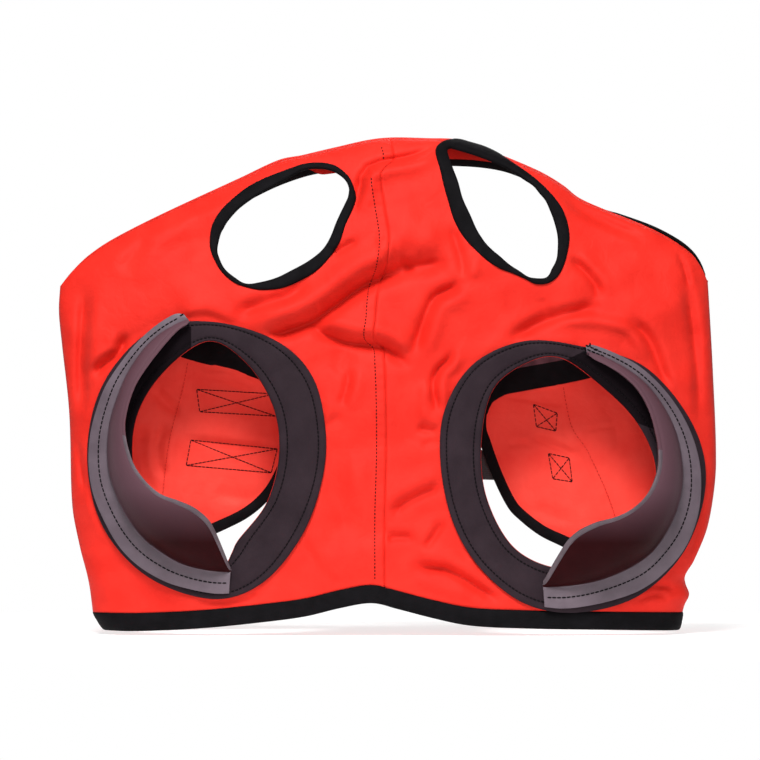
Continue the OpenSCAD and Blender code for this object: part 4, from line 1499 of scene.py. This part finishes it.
@dataclass
class EdgeTapes:
    """Folded tape along the nose edge and the neck edge."""

    shape: HoodShape
    wardrobe: Wardrobe
    nose_w: float = 12.0
    nose_t: float = 3.4
    neck_lean: float = 6.3
    neck_t: float = 2.8

    def nose(self) -> bpy.types.Object:
        """The nose tape, round both side folds from hinge line to hinge line."""
        shape = self.shape
        left, right = (float(shape.fold[side].at(shape.hem_z)) for side in Side)
        s = np.linspace(1, 0, 24)
        x = lerp(left, right, (1 - np.cos(np.linspace(0, math.pi, 200))) / 2)[1:-1]
        z = shape.hem.at(x) + 0.3
        line = np.concatenate([shape.wrap(Side.LEFT, s, 0 * s), shape.face(x, z),
                               shape.wrap(Side.RIGHT, s[::-1], 0 * s)])
        run = run_of(line)
        way = np.gradient(line, axis=0)
        out = np.stack([way[:, 1], -way[:, 0], 0 * run], -1)
        first = line + [0, 0, 0.4]
        second = line - [0, 0, self.nose_w]
        second[:, 0] += 8 * smooth((-166 - line[:, 0]) / 24) - 3 * smooth((line[:, 0] - 188) / 14)
        second = second + 0.5 * np.sin(run / 17)[:, None] * out / np.linalg.norm(out, axis=1, keepdims=True)
        return band("nose_tape", first, second, out, self.nose_t, False)

    def neck(self) -> bpy.types.Object:
        """The neck tape, which leans back behind the crown."""
        shape = self.shape
        x = np.linspace(-208, 217.5, 260)
        y, z = shape.neck_y.at(x), shape.neck.at(x)
        top = np.minimum(z + self.neck_lean, shape.crown.at(x) + shape.proud.at(x))
        first = np.stack([x, y, top], -1)
        second = np.stack([x, y + self.neck_lean, top - self.neck_lean], -1)
        return band("neck_tape", first, second, np.tile([0.0, 1.0, 1.0], (len(x), 1)), self.neck_t, False)

    def shoulder(self, side: Side) -> bpy.types.Object:
        """The neck tape from the shoulder round to the hinge line."""
        s = np.linspace(0.26 if side is Side.LEFT else 0.1, 1, 48)
        low = self.shape.wrap(side, s, 0 * s + 0.995) + [0, 0, -0.2]
        high = low + np.stack([0 * s, 0 * s, lerp(0.7, 12.3, smooth(s / 0.6))], -1)
        way = np.gradient(low, axis=0)
        out = np.stack([way[:, 1], -way[:, 0], 0 * s], -1)
        return band(f"{side.word}_shoulder_tape", low, high, out, 2.8, False)

    def build(self) -> None:
        """Build, dress and place the pieces."""
        for piece, node in ((self.nose(), "nose_binding"), (self.neck(), "neck_binding"),
                            (self.shoulder(Side.LEFT), "left_shoulder_binding"),
                            (self.shoulder(Side.RIGHT), "right_shoulder_binding")):
            dress(piece, self.wardrobe.tape)
            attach(piece, "hood")
            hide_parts(node)
            log.info("%s: %d faces", piece.name, len(piece.data.polygons))


@dataclass
class BoxSeam:
    """A stitched box with a cross in it."""

    corners: tuple[tuple[float, float], tuple[float, float], tuple[float, float], tuple[float, float]]

    def rows(self, shape: HoodShape, off: float) -> list[tuple[Array, Array]]:
        """Lines of the box on a flap.

        Args:
            shape: The hood's surfaces.
            off: How far behind the flap's middle the thread lies.

        Returns:
            Points and facing of each line.
        """
        made = []
        c = self.corners
        for a, b in ((0, 1), (1, 2), (2, 3), (3, 0), (0, 2), (1, 3)):
            t = np.linspace(0, 1, 40)
            x, z = lerp(c[a][0], c[b][0], t), lerp(c[a][1], c[b][1], t)
            made.append((shape.throat(x, z, off), np.tile([0.0, -1.0, 0.0], (40, 1))))
        return made


@dataclass
class ThroatFlap:
    """One throat flap: cloth, tape, seam, and what is sewn on it."""

    shape: HoodShape
    wardrobe: Wardrobe
    stitches: StitchMaker
    side: Side
    seam: Flat
    boxes: tuple[BoxSeam, ...]
    blend_end: float
    area: float
    rise: float
    # painted sheen: a grey band along part of the tape's upper edge stands in for light catching its fold
    turned: bool = False
    turned_corners: int = 3
    turned_rows: int = 96
    cloth: float = 1.2

    def cloth_piece(self) -> bpy.types.Object:
        """The flap's cloth, from the hinge line to the closing end."""
        shape, side = self.shape, self.side
        n, m = 90, 100
        start = shape.flap_start(side)
        tip = shape.flap_top[side][-1][0] + side.value * 3
        x = lerp(start, tip, np.sin(np.linspace(0, math.pi / 2, n)))[:, None] + np.zeros((n, m))
        tx, tz = shape.flap_edge(side, True)
        lx, lz = shape.flap_edge(side, False)
        top, low = np.interp(x[:, 0], tx, tz), np.interp(x[:, 0], lx, lz)
        wide = lerp(shape.tape_w, 4.0, smooth(np.abs(x[:, 0] - start) / 100))
        wide_top = lerp(shape.tape_w, 8.0, smooth(np.abs(x[:, 0] - start) / 60))
        top, low = top - wide_top, low + wide
        v = np.linspace(0, 1, m)[None, :]
        z = lerp(low[:, None], np.maximum(top, low + 2)[:, None], v)
        points = shape.throat(x, z)
        signed = nearest(Curve([(p[1], p[0]) for p in self.seam]).even(40), x, z)[0]
        points[..., 1] -= 0.9 * np.exp(-(signed / 1.3) ** 2) - 0.5 * np.exp(-(signed / 4.5) ** 2)
        plain = shape.throat_rest(x)
        calm = smooth((top[:, None] - z) / 10) * smooth((z - low[:, None]) / 8)
        points[..., 1] = lerp(plain + 0.5, points[..., 1], calm)
        near = smooth(np.abs(x - start) / 6)
        points[..., 1] = lerp(shape.side_depth, points[..., 1], near)
        obj = mesh_piece(f"{side.word}_flap_cloth", points.reshape(-1, 3),
                         grid_faces(n, m, flip=side is Side.LEFT), np.stack([x, z], -1).reshape(-1, 2))
        finish_sheet(obj, self.cloth)
        return obj

    def tape(self) -> bpy.types.Object:
        """Folded tape round the flap."""
        shape, side = self.shape, self.side
        n, top_rows = 240, 110
        t = np.linspace(0, 1, 110)
        path = np.concatenate([Curve(shape.flap_top[side]).at(t), Curve(shape.flap_low[side]).at(t[::-1])])
        path = Curve(path[::4]).even(n)
        start = shape.flap_start(side)
        path[0], path[-1] = (start, path[0][1] + 0.4), (start, path[-1][1])
        hidden = smooth((np.abs(path[:, 0]) - 52) / 14) * smooth((172 - np.abs(path[:, 0])) / 22)
        rise = self.rise * hidden * (np.arange(n) < top_rows)
        way = np.gradient(path, axis=0)
        way /= np.linalg.norm(way, axis=1, keepdims=True)
        inward = side.value * np.stack([-way[:, 1], way[:, 0]], -1)
        inward[0], inward[-1] = (0, -1), (0, 1)
        share = np.linspace(0, 1, n)
        wide = shape.tape_w * Graph(((0, 1), (0.36, 1), (0.48, 0.65), (0.8, 0.65), (1, 1))).at(share)
        inner = path + inward * wide[:, None]
        first = shape.throat(path[:, 0], path[:, 1] + rise)
        second = shape.throat(inner[:, 0], inner[:, 1])
        first[:, 1] -= 0.25 * rise
        normal = np.tile([0.0, 1.0, 0.0], (n, 1))
        return band(f"{side.word}_flap_tape", first, second, normal, 3.2, False)

    def seam_stitches(self) -> bpy.types.Object:
        """Fine stitches of the seam between the flap's two panels, in red thread."""
        line = Curve([(p[1], p[0]) for p in self.seam]).even(120)
        tx, tz = self.shape.flap_edge(self.side, True)
        lx, lz = self.shape.flap_edge(self.side, False)
        top, low = np.interp(line[:, 0], tx, tz), np.interp(line[:, 0], lx, lz)
        line = line[(line[:, 1] < top - 13) & (line[:, 1] > low + 10)]
        off = -self.cloth / 2 - 0.6
        points = self.shape.throat(line[:, 0] + 3 * self.side.value, line[:, 1], off)
        row = (points, np.tile([0.0, -1.0, 0.0], (len(line), 1)))
        return self.stitches.rows(f"{self.side.word}_flap_seam_stitches", [row], pitch=2.6, length=1.8,
                                  thickness=0.5)

    def box_stitches(self) -> bpy.types.Object:
        """The stitched boxes, on the side that shows through the eye opening."""
        rows = []
        for box in self.boxes:
            rows += box.rows(self.shape, -self.cloth / 2 - 0.25)
        return self.stitches.rows(f"{self.side.word}_box_stitches", rows, pitch=2.6, length=2.35,
                                  thickness=0.62)

    def build(self) -> None:
        """Build, dress and place the pieces."""
        word = self.side.word
        body = f"{word}_flap"
        cloth, tape, boxes, seam = self.cloth_piece(), self.tape(), self.box_stitches(), self.seam_stitches()
        dress(cloth, self.wardrobe.flap_knit_painted_light)
        dress(tape, self.wardrobe.tape)
        # painted sheen: a grey slot along the tape's upper edge
        if self.turned:
            tape.data.materials.append(self.wardrobe.turned)
            row, corner = np.divmod(np.arange(len(tape.data.polygons)), TAPE_CORNERS)
            rim = (corner < self.turned_corners) | (corner >= TAPE_CORNERS - self.turned_corners)
            slots = (rim & (row < self.turned_rows)).astype(np.int32)
            tape.data.polygons.foreach_set("material_index", slots)
        dress(boxes, self.wardrobe.thread)
        dress(seam, self.wardrobe.red_thread)
        start = self.shape.flap_start(self.side) * MM
        for piece in (cloth, tape, seam):
            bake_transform(piece)
        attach(boxes, body)
        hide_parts(f"{word}_side_panel", f"{word}_throat_flap")
        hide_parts(f"{word}_flap_binding")
        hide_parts(f"{word}_box_stitching")
        for piece in (cloth, tape, boxes, seam):
            log.info("%s: %d faces", piece.name, len(piece.data.polygons))


@dataclass
class ClosingStrap:
    """A closing strap sewn to the right flap, its hook patch, and its loop patch on the left."""

    shape: HoodShape
    wardrobe: Wardrobe
    stitches: StitchMaker
    word: str
    near_end: tuple[float, float]
    far_end: tuple[float, float]
    sewn: float = 17.0
    width: float = 20.0
    thickness: float = 1.6
    loop_off: float = 2.6
    hook_off: float = 4.3
    patch_t: float = 1.1
    strap_off: float = 6.0

    def line(self, from_share: float, to_share: float, count: int) -> tuple[Array, Array]:
        """Flat points along the strap and the way across it."""
        a, b = np.array(self.near_end), np.array(self.far_end)
        way = (b - a) / np.linalg.norm(b - a)
        t = np.linspace(from_share, to_share, count)[:, None]
        return a + (b - a) * t, np.array([-way[1], way[0]])

    def strip(self, name: str, shares: tuple[float, float], off: Array, thickness: float,
              width: float, count: int) -> bpy.types.Object:
        """A flat strip behind the flaps with square edges rounded a little."""
        line, across = self.line(*shares, count)
        half = across * width / 2
        first = self.shape.throat(line[:, 0] + half[0], line[:, 1] + half[1], off)
        second = self.shape.throat(line[:, 0] - half[0], line[:, 1] - half[1], off)
        flat_y = (first[:, 1] + second[:, 1]) / 2
        base = self.shape.throat_rest(line[:, 0]) + off
        first[:, 1] = second[:, 1] = lerp(flat_y, base, 0.7)
        return band(name, first, second, np.tile([0.0, 1.0, 0.0], (count, 1)), thickness, False, 16, 0.25)

    def build(self) -> None:
        """Build, dress and place the pieces."""
        length = float(np.hypot(*(np.array(self.far_end) - np.array(self.near_end))))
        share = np.linspace(0, 1 + self.sewn / length, 120)
        sewn = smooth((share * length - (length - 34)) / 30)
        off = lerp(self.strap_off, 1.9, sewn) + 0.35 * np.sin(share * length / 23) * smooth((1 - share) * 3)
        web = self.strip(f"{self.word}_closing_strap", (0, float(share[-1])), off, self.thickness,
                         self.width, 120)
        dress(web, self.wardrobe.web)
        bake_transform(web)
        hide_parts(f"{self.word}_strap", f"{self.word}_strap_anchor")
        hook = self.strip(f"{self.word}_hook_tape", (0.01, 0.22), np.full(30, self.hook_off),
                          self.patch_t, self.width - 1, 30)
        dress(hook, self.wardrobe.hooks)
        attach(hook, f"{self.word}_strap")
        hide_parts(f"{self.word}_hook_patch")
        loop = self.strip(f"{self.word}_loop_tape", (0.0, 0.24), np.full(30, self.loop_off),
                          self.patch_t, self.width, 30)
        dress(loop, self.wardrobe.loops)
        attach(loop, "left_flap")
        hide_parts(f"{self.word}_loop_patch")
        for piece in (web, hook, loop):
            log.info("%s: %d faces", piece.name, len(piece.data.polygons))


@dataclass
class Studio:
    """Camera, floor and soft light."""

    focus_y: float = -0.012
    middle_z: float = -0.1607
    lens: float = 360.0
    field_m: float = 0.5067
    floor_z: float = -0.3305
    floor_glow: float = 0.55
    above: float = 0.07
    below: float = 0.16
    key: float = 57.0
    fill: float = 62.0
    back: float = 9.0

    def camera(self) -> None:
        """Set the camera square to the face side."""
        data = bpy.data.cameras.new("camera")
        data.lens = self.lens
        data.clip_end = 50
        cam = bpy.data.objects.new("camera", data)
        bpy.context.collection.objects.link(cam)
        away = self.field_m * self.lens / data.sensor_width
        cam.location = (0.0, self.focus_y - away, self.middle_z)
        cam.rotation_euler = (math.radians(90), 0, 0)
        bpy.context.scene.camera = cam

    def floor(self) -> None:
        """A plain pale floor that fades into the pale surroundings."""
        select_none()
        bpy.ops.mesh.primitive_circle_add(vertices=96, radius=1.2, fill_type="NGON",
                                          location=(0, 0, self.floor_z))
        floor = bpy.context.active_object
        floor.name = "floor"
        bpy.ops.object.transform_apply(location=True)
        book = NodeBook("pale_floor")
        book.shader.inputs["Base Color"].default_value = (0.85, 0.85, 0.85, 1)
        book.shader.inputs["Roughness"].default_value = 0.9
        book.shader.inputs["Specular IOR Level"].default_value = 0.1
        book.shader.inputs["Emission Color"].default_value = (1, 1, 1, 1)
        book.shader.inputs["Emission Strength"].default_value = self.floor_glow
        place = book.node("ShaderNodeTexCoord").outputs["Object"]
        mapping = book.node("ShaderNodeMapping", Location=(0, 0, -self.floor_z))
        book.link(place, mapping.inputs["Vector"])
        away = book.node("ShaderNodeVectorMath", operation="LENGTH")
        book.link(mapping.outputs["Vector"], away.inputs[0])
        clear = book.node("ShaderNodeBsdfTransparent")
        mix = book.node("ShaderNodeMixShader")
        book.link(book.ramp(away.outputs["Value"], 0.15, 0.55), mix.inputs[0])
        book.link(book.shader.outputs[0], mix.inputs[1])
        book.link(clear.outputs[0], mix.inputs[2])
        book.link(mix.outputs[0], book.tree.nodes["Material Output"].inputs["Surface"])
        floor.data.materials.append(book.material)

    def surround(self) -> None:
        """A surround that is white along the horizon and dimmer above and below."""
        world = bpy.data.worlds.new("surround")
        world.use_nodes = True
        tree = world.node_tree
        place = tree.nodes.new("ShaderNodeTexCoord")
        split = tree.nodes.new("ShaderNodeSeparateXYZ")
        tree.links.new(place.outputs["Generated"], split.inputs[0])
        ramp = tree.nodes.new("ShaderNodeValToRGB")
        shift = tree.nodes.new("ShaderNodeMapRange")
        shift.inputs["From Min"].default_value = -1.0
        shift.inputs["From Max"].default_value = 1.0
        tree.links.new(split.outputs["Z"], shift.inputs["Value"])
        tree.links.new(shift.outputs["Result"], ramp.inputs["Fac"])
        stops = ((0.0, self.below), (0.33, self.below), (0.43, 1.0), (0.565, 1.0), (0.63, self.above),
                 (1.0, self.above))
        while len(ramp.color_ramp.elements) < len(stops):
            ramp.color_ramp.elements.new(0.5)
        for element, (at, level) in zip(ramp.color_ramp.elements, stops):
            element.position = at
            element.color = (level, level, level, 1)
        back = tree.nodes["Background"]
        tree.links.new(ramp.outputs["Color"], back.inputs[0])
        back.inputs[1].default_value = 1.0
        bpy.context.scene.world = world

    def lights(self) -> None:
        """Large soft lights: a key from above in front, a fill and a light from behind."""
        for name, where, size, power in (("key", (-0.2, -1.4, 1.3), 0.7, self.key),
                                         ("fill", (0.5, -5.8, 0.3), 2.4, self.fill),
                                         ("back", (0.2, 1.4, 0.9), 1.0, self.back)):
            data = bpy.data.lights.new(name, "AREA")
            data.energy = power
            data.size = size
            lamp = bpy.data.objects.new(name, data)
            lamp.location = where
            aim = Vector((0, 0, -0.16)) - Vector(where)
            lamp.rotation_euler = aim.to_track_quat("-Z", "Y").to_euler()
            bpy.context.collection.objects.link(lamp)
        bpy.context.scene.view_settings.view_transform = "Standard"

    def build(self) -> None:
        """Set the camera, the floor and the lights."""
        self.camera()
        self.floor()
        self.surround()
        self.lights()


def main() -> None:
    """Build the hood, piece by piece."""
    logging.basicConfig(level=logging.INFO, format="%(name)s %(message)s")
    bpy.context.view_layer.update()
    Studio().build()
    shape, wardrobe, stitches = HoodShape(), Wardrobe(), StitchMaker()
    FaceSide(shape, wardrobe, stitches).build()
    for side in Side:
        EarTrim(shape, wardrobe, side).build()
        EyeSet(shape, wardrobe, stitches, side, CUPS[side],
               shadowed_arc=(134.0, 33.0) if side is Side.LEFT else (43.0, 33.0)).build()
    EdgeTapes(shape, wardrobe).build()
    ThroatFlap(shape, wardrobe, stitches, Side.LEFT,
               ((-320, -150), (-240, -143), (-200, -138), (-160, -128), (-110, -120)),
               (BoxSeam(((-123, -167), (-71, -170), (-70, -185), (-121, -182))),
                BoxSeam(((-127, -201), (-69, -207), (-73, -223), (-130, -218)))),
               blend_end=-150, area=0.0165, rise=5.0).build()
    ThroatFlap(shape, wardrobe, stitches, Side.RIGHT,
               ((-320, 172), (-250, 154), (-210, 137), (-190, 125), (-150, 118), (-110, 115)),
               (BoxSeam(((103, -177), (119, -183), (118, -195), (105, -192))),
                BoxSeam(((113, -210), (127, -213), (129, -229), (116, -227)))),
               blend_end=158, area=0.0165, rise=10.0, turned=True).build()
    ClosingStrap(shape, wardrobe, stitches, "upper", (-119, -175), (104, -186)).build()
    ClosingStrap(shape, wardrobe, stitches, "lower", (-124, -212), (113, -219)).build()


if __name__ == "__main__":
    main()
